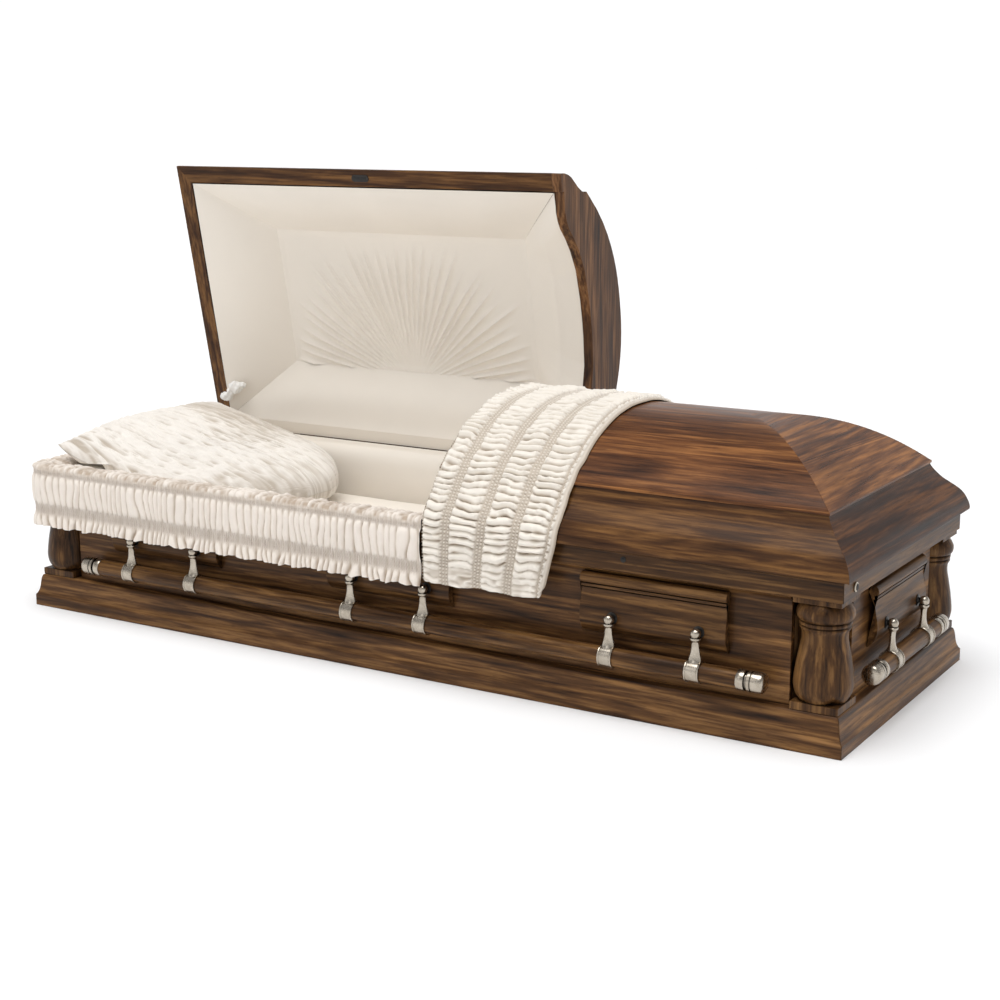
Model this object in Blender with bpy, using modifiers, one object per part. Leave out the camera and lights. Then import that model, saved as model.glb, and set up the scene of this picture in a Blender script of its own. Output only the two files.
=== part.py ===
# Wooden coffin with a two-part hinged lid, swing-bar handles and a shirred lining.
# Metres, +Z up, the length along X with the head end at -X, the hinges at +Y.
import math

import bmesh
import bpy

# Overall size
LENGTH = 2.130
WIDTH = 0.743
HALF_L = LENGTH / 2
HALF_W = WIDTH / 2
CROWN_TOP = 0.585
FIT = 0.0003
FACETS = 10
ARM_FACETS = 6
BALL_FACETS = 8

# Base moulding
BASE_TOP = 0.079
BASE_INSET = 0.0165
FRAME_INNER = 0.060
BOTTOM_THICK = 0.018

# Body sides
PANEL_INSET = 0.038
PANEL_THICK = 0.018
RAIL_INSET = 0.0125
RAIL_BOTTOM = 0.305
RAIL_TOP = 0.345
COVE = 0.025

# Corner niches, measured in from the corner along the length and along the width
NICHE_X = 0.1245
NICHE_Y = 0.137
POST_THICK = 0.014

# Corner urns
URN_INSET = 0.0665
URN_R = 0.0570
URN_SEGMENTS = 12
PLATE_HALF = 0.0495
PLATE_LOW_TOP = 0.095
PLATE_HIGH_BOTTOM = 0.294

# Plaques and handles
PLAQUE_BOTTOM = 0.163
PLAQUE_TOP = 0.292
PLAQUE_OUT = 0.0222
PLAQUE_HALF_LONG = 0.1635
PLAQUE_HALF_END = 0.150
PLAQUE_FROM_NICHE = 0.2925
PLAQUE_PITCH = HALF_L - NICHE_X - PLAQUE_FROM_NICHE
HANDLE_SHIFT = 0.009
ARM_HALF_PITCH = 0.097
LUG_Z = 0.2035
LUG_OUT = 0.036
LUG_R = 0.0105
LUG_STEM_R = 0.006
CUP_GAP = 0.0020
BAR_DROP = 0.077
BAR_R = 0.0195
BAR_PAST_ARM_LONG = 0.153
BAR_PAST_ARM_END = 0.125
BAR_HALF_LONG = PLAQUE_PITCH + ARM_HALF_PITCH + BAR_PAST_ARM_LONG
BAR_HALF_END = ARM_HALF_PITCH + BAR_PAST_ARM_END
TIP_LENGTH = 0.058
TIP_R = 0.0212
RING_HALF = 0.0150
RING_R = 0.0232

# Lid
LID_GAP = 0.003
LID_BOTTOM = RAIL_TOP + LID_GAP
LID_OUT = 0.0025
LID_WALL = 0.040
MOULDING_TOP = 0.4585
CROWN_INSET = 0.0665
CROWN_LIP = 0.007
CROWN_EDGE = MOULDING_TOP + CROWN_LIP
CROWN_THICK = 0.0195
CROWN_POWER = 2.3
CROWN_STEPS = 9
LEDGE_INNER = 0.098
CUT_X = 0.110
HEADER_THICK = 0.025
HINGE_Y = HALF_W - 0.0095
HINGE_Z = RAIL_TOP
HEAD_LID_OPEN = math.radians(78.7)
HINGE_R = 0.0025
HINGE_HALF = 0.035

# Soft furnishings
FIELD_Z = MOULDING_TOP - 0.0125
FIELD_THICK = 0.010
FIELD_TOP = FIELD_Z + FIELD_THICK
FIELD_HALF_W = HALF_W - 0.1865
FIELD_FAR = HALF_L - 0.2275
FIELD_FROM_HEADER = 0.1497
THROW_START = CUT_X + 0.002
THROW_WIDTH = 0.336
THROW_THICK = 0.012
THROW_HEM = RAIL_TOP - 0.113
SKIRT_HEM = RAIL_TOP - 0.1285
SKIRT_OUT = 0.0020
SKIRT_BACK = 0.0085
SKIRT_END = CUT_X - 0.0015
SKIRT_FROM_BACK = 0.0715
BED_TOP = 0.235
BOARD_TOP = 0.137
BOARD_THICK = 0.012
LINING_END = 0.0435
LINING_SIDE = 0.0515
BED_HALF_X = HALF_L - NICHE_X - POST_THICK - LINING_END
BED_HALF_Y = HALF_W - FRAME_INNER - LINING_SIDE
RUNNER_HALF = 0.020
PILLOW_SIDE = 0.008

for item in list(bpy.data.objects):
    bpy.data.objects.remove(item)

parts = bpy.data.collections.new("coffin")
cutters = bpy.data.collections.new("cutters")
bpy.context.scene.collection.children.link(parts)
bpy.context.scene.collection.children.link(cutters)


def material(name, colour, roughness, metallic=0.0):
    made = bpy.data.materials.new(name)
    made.use_nodes = True
    shader = made.node_tree.nodes["Principled BSDF"]
    shader.inputs["Base Color"].default_value = (*colour, 1.0)
    shader.inputs["Roughness"].default_value = roughness
    shader.inputs["Metallic"].default_value = metallic
    return made


BODY_WOOD = material("body_walnut", (0.115, 0.052, 0.024), 0.38)
CROWN_WOOD = material("crown_walnut", (0.260, 0.092, 0.030), 0.33)
URN_WOOD = material("urn_walnut", (0.105, 0.048, 0.023), 0.36)
NICKEL = material("antique_nickel", (0.560, 0.510, 0.440), 0.30, 1.0)
BLACK_STEEL = material("black_steel", (0.020, 0.019, 0.018), 0.45, 1.0)
LINING = material("ivory_lining", (0.800, 0.760, 0.700), 0.80)
SHIRRED = material("shirred_cloth", (0.860, 0.830, 0.780), 0.85)


def keep(made, name, finish):
    made.name = name
    made.data.name = name
    made.data.materials.clear()
    made.data.materials.append(finish)
    made.hide_render = False
    made.display_type = "TEXTURED"
    for holder in list(made.users_collection):
        holder.objects.unlink(made)
    parts.objects.link(made)
    return made


def as_cutter(made):
    cutters.objects.link(made)
    made.hide_render = True
    made.display_type = "WIRE"
    return made


def from_bmesh(shape, name):
    mesh = bpy.data.meshes.new(name)
    shape.to_mesh(mesh)
    shape.free()
    return as_cutter(bpy.data.objects.new(name, mesh))


def flatten(made):
    """Apply the modifiers of an object to its mesh."""
    bpy.context.view_layer.update()
    solved = made.evaluated_get(bpy.context.evaluated_depsgraph_get())
    mesh = bpy.data.meshes.new_from_object(solved)
    made.modifiers.clear()
    made.data = mesh
    return made


def bake(made):
    """Apply the placing of an object to its mesh."""
    bpy.context.view_layer.update()
    made.data.transform(made.matrix_world)
    made.matrix_world.identity()
    return made


# Turns that stand a flat outline's thickness along each axis
STAND = {"X": (math.pi / 2, 0, math.pi / 2), "Y": (math.pi / 2, 0, 0), "Z": (0, 0, 0)}


def prism(outline, start, end, axis="X", name="prism"):
    """A flat closed outline, filled and given its thickness from start to end along an axis."""
    curve = bpy.data.curves.new(name, "CURVE")
    curve.dimensions = "2D"
    curve.fill_mode = "BOTH"
    curve.extrude = (end - start) / 2
    spline = curve.splines.new("POLY")
    spline.points.add(len(outline) - 1)
    for point, (a, b) in zip(spline.points, outline):
        point.co = (a, b, 0, 1)
    spline.use_cyclic_u = True
    drawn = as_cutter(bpy.data.objects.new(name, curve))
    drawn.rotation_euler = STAND[axis]
    drawn.location["XYZ".index(axis)] = (start + end) / 2
    bpy.context.view_layer.update()
    mesh = bpy.data.meshes.new_from_object(drawn.evaluated_get(bpy.context.evaluated_depsgraph_get()))
    mesh.transform(drawn.matrix_world)
    bpy.data.objects.remove(drawn)
    return tidied(as_cutter(bpy.data.objects.new(name, mesh)))


def bar_of(section, half, mitred=False, name="bar"):
    """A section of (inset, height) points run along X, with mitred ends if asked."""
    made = prism(section, -half, half, "X", name)
    if mitred:
        for point in made.data.vertices:
            reach = point.co.y + FIT
            point.co.x -= math.copysign(reach, point.co.x)
    return made


def block(low, high, name="block"):
    shape = bmesh.new()
    bmesh.ops.create_cube(shape, size=1.0)
    for point in shape.verts:
        for axis in range(3):
            middle = (low[axis] + high[axis]) / 2
            point.co[axis] = middle + point.co[axis] * (high[axis] - low[axis])
    return from_bmesh(shape, name)


def ball(radius, spot):
    shape = bmesh.new()
    bmesh.ops.create_uvsphere(shape, u_segments=BALL_FACETS, v_segments=4, radius=radius)
    return moved(from_bmesh(shape, "ball"), spot)


def rod(radius, length, segments):
    """A cylinder along Z, standing on the origin."""
    shape = bmesh.new()
    bmesh.ops.create_cone(
        shape,
        cap_ends=True,
        segments=segments,
        radius1=radius,
        radius2=radius,
        depth=length,
    )
    return moved(from_bmesh(shape, "rod"), (0, 0, length / 2))


def turned(profile, segments, name="turned"):
    """Spin a profile of (radius, height) points about Z, from bottom to top."""
    mesh = bpy.data.meshes.new(name)
    points = [(radius, 0, height) for radius, height in reversed(profile)]
    mesh.from_pydata(points, [(i, i + 1) for i in range(len(points) - 1)], [])
    made = as_cutter(bpy.data.objects.new(name, mesh))
    spin = made.modifiers.new("spin", "SCREW")
    spin.axis = "Z"
    spin.steps = segments
    spin.render_steps = segments
    spin.use_merge_vertices = True
    spin.merge_threshold = 0.00001
    flatten(made)
    shape = bmesh.new()
    shape.from_mesh(made.data)
    bmesh.ops.remove_doubles(shape, verts=shape.verts, dist=0.00001)
    bmesh.ops.holes_fill(shape, edges=shape.edges)
    bmesh.ops.recalc_face_normals(shape, faces=shape.faces)
    shape.to_mesh(made.data)
    shape.free()
    return made


def joined(base, tool, operation="UNION"):
    cut = base.modifiers.new("cut", "BOOLEAN")
    cut.operation = operation
    cut.solver = "EXACT"
    cut.object = tool
    flatten(base)
    bpy.data.objects.remove(tool)
    return base


def moved(made, spot):
    made.location = spot
    return bake(made)


def tidied(made):
    """Merge the faces that lie in one plane."""
    shape = bmesh.new()
    shape.from_mesh(made.data)
    bmesh.ops.remove_doubles(shape, verts=shape.verts, dist=0.00002)
    bmesh.ops.dissolve_limit(shape, angle_limit=0.002, verts=shape.verts, edges=shape.edges)
    shape.to_mesh(made.data)
    shape.free()
    return made


# Each side of the coffin as a turn about Z and the place of its outer line
SIDES = {
    "front": (0.0, (0, -HALF_W, 0)),
    "back": (math.pi, (0, HALF_W, 0)),
    "head": (-math.pi / 2, (-HALF_L, 0, 0)),
    "foot": (math.pi / 2, (HALF_L, 0, 0)),
}
LONG_SIDES = ("front", "back")


def placed(made, side):
    """Turn a piece made along the front so that it belongs to its own side."""
    made.rotation_euler = (0, 0, SIDES[side][0])
    made.location = SIDES[side][1]
    return made


def half_of(side):
    return HALF_L if side in LONG_SIDES else HALF_W


# Base moulding, four mitred lengths round a bottom board
BASE_SECTION = [
    (0.0, 0.0),
    (0.0, 0.027),
    (0.0035, 0.031),
    (0.0068, 0.039),
    (0.0090, 0.049),
    (0.0102, 0.060),
    (0.0120, 0.070),
    (0.0145, 0.0765),
    (BASE_INSET + 0.002, BASE_TOP),
    (FRAME_INNER, BASE_TOP),
    (FRAME_INNER, 0.0),
]
for side in SIDES:
    keep(placed(bar_of(BASE_SECTION, half_of(side), True), side), f"base_{side}", BODY_WOOD)

board_x = HALF_L - FRAME_INNER - FIT
board_y = HALF_W - FRAME_INNER - FIT
keep(block((-board_x, -board_y, 0), (board_x, board_y, BOTTOM_THICK)), "bottom_board", BODY_WOOD)

# Side panels, coved out to the rail on the long sides
PANEL_BOTTOM = BASE_TOP + FIT
PANEL_END_TOP = RAIL_BOTTOM - FIT
panel_back = PANEL_INSET + PANEL_THICK
long_section = [(PANEL_INSET, PANEL_BOTTOM)]
for step in range(5):
    turn = math.radians(90 * step / 4)
    inset = PANEL_INSET - COVE * (1 - math.cos(turn))
    height = PANEL_END_TOP - COVE + COVE * math.sin(turn)
    long_section.append((inset, height))
long_section.append((panel_back, PANEL_END_TOP))
long_section.append((panel_back, PANEL_BOTTOM))
end_section = [
    (PANEL_INSET, PANEL_BOTTOM),
    (PANEL_INSET, PANEL_END_TOP),
    (panel_back, PANEL_END_TOP),
    (panel_back, PANEL_BOTTOM),
]
niche_x = HALF_L - NICHE_X
niche_y = HALF_W - NICHE_Y
for side in SIDES:
    long = side in LONG_SIDES
    section = long_section if long else end_section
    half = niche_x if long else niche_y
    keep(placed(bar_of(section, half), side), f"panel_{side}", BODY_WOOD)

# Angle posts that close the corner niches
CORNERS = {
    "front_head": (-1, -1),
    "front_foot": (1, -1),
    "back_head": (-1, 1),
    "back_foot": (1, 1),
}
post_far_x = HALF_L - panel_back - FIT
post_far_y = HALF_W - panel_back - FIT
for corner, (sx, sy) in CORNERS.items():
    outline = [
        (niche_x - POST_THICK, niche_y - POST_THICK),
        (post_far_x, niche_y - POST_THICK),
        (post_far_x, niche_y),
        (niche_x, niche_y),
        (niche_x, post_far_y),
        (niche_x - POST_THICK, post_far_y),
    ]
    outline = [(sx * a, sy * b) for a, b in outline]
    post = prism(outline, PANEL_BOTTOM, PANEL_END_TOP, "Z")
    keep(post, f"post_{corner}", BODY_WOOD)

# Corner urns, turned between two square plates
URN_PROFILE = [
    (0.0, PLATE_LOW_TOP - 0.002),
    (0.034, PLATE_LOW_TOP - 0.002),
    (0.0455, 0.0985),
    (0.0540, 0.108),
    (URN_R, 0.130),
    (0.0555, 0.157),
    (0.0510, 0.184),
    (0.0465, 0.207),
    (0.0450, 0.223),
    (0.0460, 0.2385),
    (0.0492, 0.2420),
    (0.0492, 0.2490),
    (0.0478, 0.2505),
    (0.0515, 0.2530),
    (0.0515, 0.2605),
    (0.0560, 0.2660),
    (URN_R, 0.2735),
    (0.0500, 0.2850),
    (0.0440, PLATE_HIGH_BOTTOM + 0.002),
    (0.0, PLATE_HIGH_BOTTOM + 0.002),
]


def urn_at(corner, sx, sy):
    urn = turned(URN_PROFILE, URN_SEGMENTS)
    low = (-PLATE_HALF, -PLATE_HALF, PANEL_BOTTOM)
    high = (PLATE_HALF, PLATE_HALF, PLATE_LOW_TOP)
    urn = joined(urn, block(low, high))
    low = (-PLATE_HALF, -PLATE_HALF, PLATE_HIGH_BOTTOM)
    high = (PLATE_HALF, PLATE_HALF, PANEL_END_TOP)
    urn = joined(urn, block(low, high))
    urn.location = (sx * (HALF_L - URN_INSET), sy * (HALF_W - URN_INSET), 0)
    keep(urn, f"urn_{corner}", URN_WOOD)


for corner, (sx, sy) in CORNERS.items():
    urn_at(corner, sx, sy)

# Top rails, mitred
RAIL_SECTION = [
    (RAIL_INSET, RAIL_BOTTOM),
    (RAIL_INSET, RAIL_TOP),
    (FRAME_INNER, RAIL_TOP),
    (FRAME_INNER, RAIL_BOTTOM),
]
for side in SIDES:
    keep(placed(bar_of(RAIL_SECTION, half_of(side), True), side), f"rail_{side}", BODY_WOOD)

# Plaques with a rolled nose, two grooves and a swelling foot, each with two ball lugs
PLAQUE_FACE = [
    (0.0030, PLAQUE_BOTTOM),
    (0.0100, 0.1685),
    (0.0190, 0.1830),
    (PLAQUE_OUT, 0.2000),
    (0.0215, 0.2150),
    (0.0175, 0.2340),
    (0.0150, 0.2480),
    (0.0160, 0.2600),
    (0.0172, 0.2604),
    (0.0160, 0.2622),
    (0.0180, 0.2690),
    (0.0192, 0.2694),
    (0.0180, 0.2712),
    (0.0212, 0.2740),
    (0.0220, 0.2800),
    (0.0195, 0.2860),
    (0.0140, 0.2905),
    (0.0080, PLAQUE_TOP),
]
plaque_section = [(PANEL_INSET - FIT, PLAQUE_BOTTOM)]
plaque_section += [(PANEL_INSET - out, height) for out, height in PLAQUE_FACE]
PLAQUE_BACK = [
    (PANEL_INSET - 0.0042, PLAQUE_TOP),
    (PANEL_INSET - 0.0022, 0.2885),
    (PANEL_INSET - FIT, 0.2785),
]
plaque_section += PLAQUE_BACK
LUG_INSET = PANEL_INSET - LUG_OUT


def plaque(side, centre, half, shift, name):
    made = bar_of(plaque_section, half)
    for sign in (-1, 1):
        along = shift + sign * ARM_HALF_PITCH
        stem = rod(LUG_STEM_R, LUG_OUT - 0.014, ARM_FACETS)
        stem.rotation_euler = (-math.pi / 2, 0, 0)
        stem.location = (along, LUG_INSET, LUG_Z)
        made = joined(made, bake(stem))
        made = joined(made, ball(LUG_R, (along, LUG_INSET, LUG_Z)))
    made = moved(tidied(made), (centre, 0, 0))
    keep(placed(made, side), name, BODY_WOOD)


for side in LONG_SIDES:
    shift = HANDLE_SHIFT if side == "front" else -HANDLE_SHIFT
    for spot, label in ((-1, "left"), (0, "middle"), (1, "right")):
        plaque(side, spot * PLAQUE_PITCH, PLAQUE_HALF_LONG, shift, f"plaque_{side}_{label}")
for side in ("head", "foot"):
    plaque(side, 0, PLAQUE_HALF_END, 0, f"plaque_{side}")

# Swing-bar handles: a round bar with banded tips, carried by arms hung on the lugs
ARM_NECK = [
    (0.0, -BAR_DROP + 0.004),
    (0.0140, -BAR_DROP + 0.004),
    (0.0140, -0.0520),
    (0.0085, -0.0340),
    (0.0072, -0.0180),
    (0.0118, -0.0135),
    (0.0118, -0.0080),
    (0.0, -0.0080),
]
RING = [
    (BAR_R, -RING_HALF),
    (RING_R, -RING_HALF),
    (RING_R, RING_HALF),
    (BAR_R, RING_HALF),
]


def bar_profile(half, arms):
    """The bar from tip to tip, with a flared band at each arm."""
    tip = half - TIP_LENGTH
    end = [
        (BAR_R, tip),
        (TIP_R, tip),
        (TIP_R, tip + 0.017),
        (BAR_R - 0.001, tip + 0.0195),
        (TIP_R, tip + 0.022),
        (TIP_R, tip + 0.044),
        (TIP_R * 0.70, half - 0.0040),
        (0.0, half),
    ]
    rows = [(radius, -along) for radius, along in reversed(end)]
    for spot in arms:
        rows += [(radius, spot + along) for radius, along in RING]
    return rows + end


def lengthwise(made, spot):
    made.rotation_euler = (0, math.pi / 2, 0)
    made.location = spot
    return bake(made)


def handle(side, half, arms, shift, name):
    made = lengthwise(turned(bar_profile(half, arms), FACETS), (0, 0, -BAR_DROP))
    for along in arms:
        neck = moved(turned(ARM_NECK, ARM_FACETS), (along, 0, 0))
        cup = ball(LUG_R + CUP_GAP, (along, 0, 0))
        made = joined(made, joined(neck, cup, "DIFFERENCE"))
    turn, origin = SIDES[side]
    made.rotation_euler = (0, 0, turn)
    made.location = (
        origin[0] - math.sin(turn) * LUG_INSET + shift,
        origin[1] + math.cos(turn) * LUG_INSET,
        LUG_Z,
    )
    keep(tidied(made), name, NICKEL)


long_arms = [spot * PLAQUE_PITCH + sign * ARM_HALF_PITCH for spot in (-1, 0, 1) for sign in (-1, 1)]
for side in LONG_SIDES:
    handle(side, BAR_HALF_LONG, long_arms, HANDLE_SHIFT, f"handle_{side}")
for side in ("head", "foot"):
    handle(side, BAR_HALF_END, [-ARM_HALF_PITCH, ARM_HALF_PITCH], 0, f"handle_{side}")


# Lid shapes: a profile of (inset, height) run along both sides and round one end
OGEE = [
    (-LID_OUT, LID_BOTTOM),
    (-LID_OUT - 0.0003, 0.355),
    (0.0, 0.367),
    (0.008, 0.385),
    (0.0175, 0.398),
    (0.032, 0.4115),
    (0.047, 0.425),
    (0.060, 0.441),
    (0.067, 0.452),
    (0.0695, MOULDING_TOP),
]
OGEE_INNER = [
    (LID_WALL, LID_BOTTOM),
    (LID_WALL, 0.360),
    (0.055, 0.385),
    (0.075, 0.410),
    (0.092, 0.430),
    (LEDGE_INNER, MOULDING_TOP),
]


def crown_height(inset):
    across = (HALF_W - inset) / (HALF_W - CROWN_INSET - 0.003)
    return CROWN_TOP - (CROWN_TOP - CROWN_EDGE) * abs(across) ** CROWN_POWER


def crown_rows(start, drop):
    rows = []
    for step in range(CROWN_STEPS + 1):
        share = (step / CROWN_STEPS) ** 0.8
        inset = start + (HALF_W - start) * share
        rows.append((inset, crown_height(inset) - drop))
    return rows


def across(profile):
    """The profile and its mirror image as one closed outline across the width."""
    left = [(-HALF_W + inset, height) for inset, height in profile]
    right = [(-a, b) for a, b in reversed(left) if abs(a) > 0.00001]
    return left + right


def hipped(profile, end_sign, cut, name="hipped"):
    """Solid under a profile that runs along both sides and returns round one end."""
    far = end_sign * (HALF_L + 0.01)
    sides = prism(across(profile), min(cut, far), max(cut, far), "X")
    run = [(end_sign * (HALF_L - inset), height) for inset, height in profile]
    top = run[-1][1]
    outline = run + [(cut - end_sign * 0.01, top), (cut - end_sign * 0.01, run[0][1])]
    ends = prism(outline, -HALF_W - 0.01, HALF_W + 0.01, "Y")
    return joined(sides, ends, "INTERSECT")


def lid_ring(end_sign, cut):
    outer = hipped(OGEE, end_sign, cut)
    low = [(LID_WALL, LID_BOTTOM - 0.01)]
    high = [(LEDGE_INNER, MOULDING_TOP + 0.01)]
    inner = hipped(low + OGEE_INNER + high, end_sign, cut - end_sign * 0.005)
    return tidied(joined(outer, inner, "DIFFERENCE"))


CROWN_LOW = MOULDING_TOP + FIT


def lid_crown(end_sign, cut):
    edge = [(CROWN_INSET, CROWN_LOW), (CROWN_INSET, CROWN_EDGE - 0.0025)]
    outer = hipped(edge + crown_rows(CROWN_INSET + 0.003, 0), end_sign, cut)
    foot = [(LEDGE_INNER, CROWN_LOW - 0.01)]
    inner = hipped(foot + crown_rows(LEDGE_INNER, CROWN_THICK), end_sign, cut - end_sign * 0.005)
    return tidied(joined(outer, inner, "DIFFERENCE"))


# The end board of each lid section: the whole outer profile with an arch cut from below
ARCH_TOP = 0.430
ARCH = [
    (0.040, LID_BOTTOM - 0.01),
    (0.040, LID_BOTTOM + 0.008),
    (0.090, 0.352),
    (0.112, 0.356),
    (0.133, 0.364),
    (0.163, 0.384),
    (0.1975, 0.402),
    (0.2495, 0.420),
    (0.3245, 0.4285),
    (HALF_W, ARCH_TOP),
]


def lid_header(start, end):
    edge = [(CROWN_INSET, MOULDING_TOP + 0.0005), (CROWN_INSET, CROWN_EDGE - 0.0025)]
    profile = OGEE + edge + crown_rows(CROWN_INSET + 0.003, 0)
    board = prism(across(profile), start, end, "X")
    arch = prism(across(ARCH), start - 0.01, end + 0.01, "X")
    return tidied(joined(board, arch, "DIFFERENCE"))


# Padding inside a lid section: thick mitred borders round a recessed field
PAD_OUTER = [
    (0.0425, LID_BOTTOM + 0.0015),
    (0.0425, 0.358),
    (0.060, 0.383),
    (0.080, 0.4085),
    (LEDGE_INNER + 0.0008, 0.430),
    (LEDGE_INNER + 0.0008, FIELD_TOP),
]


def lid_lining(end_sign, cut, field_far, field_near):
    outer = hipped(PAD_OUTER, end_sign, cut)
    rim = 0.051
    low = LID_BOTTOM - 0.01
    start = LID_BOTTOM + 0.010
    slope = [(rim, low), (rim, start), (HALF_W - FIELD_HALF_W, FIELD_Z)]
    long_run = prism(across(slope), -HALF_L, HALF_L, "X")
    end = end_sign * (HALF_L - rim)
    past = cut - end_sign * 0.02
    outline = [(end, low), (end, start), (field_far, FIELD_Z), (field_near, FIELD_Z)]
    outline += [(past, ARCH_TOP - 0.003), (past, low)]
    room = joined(long_run, prism(outline, -HALF_W, HALF_W, "Y"), "INTERSECT")
    return tidied(joined(outer, room, "DIFFERENCE"))


HEAD_CUT = CUT_X - FIT
FOOT_CUT = CUT_X + FIT
head_inner = HEAD_CUT - HEADER_THICK
foot_inner = FOOT_CUT + HEADER_THICK
head_pieces = [
    keep(lid_ring(-1, head_inner - FIT), "head_lid_moulding", BODY_WOOD),
    keep(lid_crown(-1, head_inner - FIT), "head_lid_crown", CROWN_WOOD),
    keep(lid_header(head_inner, HEAD_CUT), "head_lid_header", URN_WOOD),
    keep(
        lid_lining(-1, head_inner - 0.001, -FIELD_FAR, head_inner - FIELD_FROM_HEADER),
        "head_lid_lining",
        LINING,
    ),
]
foot_pieces = [
    keep(lid_ring(1, foot_inner + FIT), "foot_lid_moulding", BODY_WOOD),
    keep(lid_crown(1, foot_inner + FIT), "foot_lid_crown", CROWN_WOOD),
    keep(lid_header(FOOT_CUT, foot_inner), "foot_lid_header", URN_WOOD),
    keep(
        lid_lining(1, foot_inner + 0.001, FIELD_FAR, foot_inner + FIELD_FROM_HEADER),
        "foot_lid_lining",
        LINING,
    ),
]

# Oval latch plate let flush into the underside of the head lid's front rim
LATCH_FROM_CUT = 0.579
LATCH_X = CUT_X - LATCH_FROM_CUT
LATCH_Y = -HALF_W + 0.019
LATCH_THICK = 0.0016


def latch_oval(radius, low, high):
    outline = []
    for step in range(16):
        turn = math.tau * (step + 0.5) / 16
        bulge = math.copysign(0.017, math.cos(turn))
        outline.append((LATCH_X + bulge + radius * math.cos(turn), LATCH_Y + radius * math.sin(turn)))
    return prism(outline, low, high, "Z")


pocket = latch_oval(0.009 + FIT, LID_BOTTOM - 0.001, LID_BOTTOM + LATCH_THICK + FIT)
joined(head_pieces[0], pocket, "DIFFERENCE")
latch = latch_oval(0.009, LID_BOTTOM, LID_BOTTOM + LATCH_THICK)
head_pieces.append(keep(latch, "latch_plate", BLACK_STEEL))

# Steel stay plate on the underside of the head lid's end rim, beside the hinge line
STAY_IN = 0.013
STAY_LONG = 0.048
STAY_WIDE = 0.022
low = (-HALF_L + STAY_IN, HINGE_Y - 0.010 - STAY_LONG, RAIL_TOP + 0.0007)
high = (-HALF_L + STAY_IN + STAY_WIDE, HINGE_Y - 0.010, LID_BOTTOM - FIT)
stay = block(low, high)
head_pieces.append(keep(stay, "lid_stay_plate", BLACK_STEEL))

# Throw laid over the head end of the closed lid section and down its front
throw_under = [
    (-HALF_W - 0.0040, THROW_HEM),
    (-HALF_W - 0.0040, 0.3560),
    (-HALF_W - 0.0010, 0.3700),
    (-HALF_W + 0.0065, 0.3875),
    (-HALF_W + CROWN_INSET - 0.0030, CROWN_EDGE + 0.0015),
]
for inset, height in crown_rows(CROWN_INSET + 0.003, -0.0012):
    throw_under.append((-HALF_W + inset, height))
throw_under += [(-a, b) for a, b in reversed(throw_under[5:-1])]
throw_over = []
for index, (a, b) in enumerate(throw_under):
    before = throw_under[max(index - 1, 0)]
    after = throw_under[min(index + 1, len(throw_under) - 1)]
    run, rise = after[0] - before[0], after[1] - before[1]
    size = math.hypot(run, rise)
    throw_over.append((a - THROW_THICK * rise / size, b + THROW_THICK * run / size))
throw = prism(throw_under + throw_over[::-1], THROW_START, THROW_START + THROW_WIDTH, "X")
foot_pieces.append(keep(throw, "throw", SHIRRED))

# Skirt of gathered cloth laid over the front rail and the head rail
rail_in = FRAME_INNER + FIT


def skirt_layer(outer_inset, inner_inset, low, high, back):
    """A band round the front and the head end between two insets."""
    out_x = -HALF_L + outer_inset
    out_y = -HALF_W + outer_inset
    in_x = -HALF_L + inner_inset
    in_y = -HALF_W + inner_inset
    outline = [
        (SKIRT_END, out_y),
        (out_x, out_y),
        (out_x, back),
        (in_x, back),
        (in_x, in_y),
        (SKIRT_END, in_y),
    ]
    return prism(outline, low, high, "Z")


SKIRT_TOP = LID_BOTTOM - FIT
skirt_back = HALF_W - SKIRT_FROM_BACK
drop = skirt_layer(-SKIRT_OUT, SKIRT_BACK, SKIRT_HEM, SKIRT_TOP, skirt_back)
cover = skirt_layer(SKIRT_BACK - 0.0060, rail_in + 0.0040, RAIL_TOP + FIT, SKIRT_TOP, skirt_back)
tuck = skirt_layer(rail_in, rail_in + 0.0045, RAIL_BOTTOM + 0.0050, SKIRT_TOP, skirt_back)
skirt = tidied(joined(joined(drop, cover), tuck))
keep(skirt, "skirt", SHIRRED)

# Bedding inside the body: a bed board on two runners, a mattress, a padded wall lining, a pillow
board_low = BOARD_TOP - BOARD_THICK
bed = block((-BED_HALF_X, -BED_HALF_Y, board_low), (BED_HALF_X, BED_HALF_Y, BOARD_TOP))
for sign in (-1, 1):
    runner_y = sign * (BED_HALF_Y - 2 * RUNNER_HALF)
    low = (-BED_HALF_X, runner_y - RUNNER_HALF, BOTTOM_THICK + FIT)
    high = (BED_HALF_X, runner_y + RUNNER_HALF, board_low + 0.005)
    bed = joined(bed, block(low, high))
keep(tidied(bed), "bed_board", BODY_WOOD)
keep(
    block((-BED_HALF_X, -BED_HALF_Y, BOARD_TOP + FIT), (BED_HALF_X, BED_HALF_Y, BED_TOP)),
    "mattress",
    LINING,
)

lining_low = BOARD_TOP + 0.013
lining_x = niche_x - POST_THICK - 0.001
lining_y = HALF_W - FRAME_INNER - 0.0055
lining_top = RAIL_TOP - 0.010
wall = block((-lining_x, -lining_y, lining_low), (lining_x, lining_y, lining_top))
ledge_x = HALF_L - rail_in - 0.0055
ledge = block((-ledge_x, -lining_y, RAIL_BOTTOM + 0.001), (ledge_x, lining_y, lining_top))
wall = joined(wall, ledge)
room_outline = [(-lining_y + 0.0360, lining_top + 0.01), (-BED_HALF_Y - 0.001, lining_top - 0.035)]
room_outline += [(-BED_HALF_Y - 0.001, lining_low - 0.01)]
room_outline += [(-a, b) for a, b in reversed(room_outline)]
room = prism(room_outline, -BED_HALF_X - 0.001, BED_HALF_X + 0.001, "X")
keep(tidied(joined(wall, room, "DIFFERENCE")), "body_lining", LINING)

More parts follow.
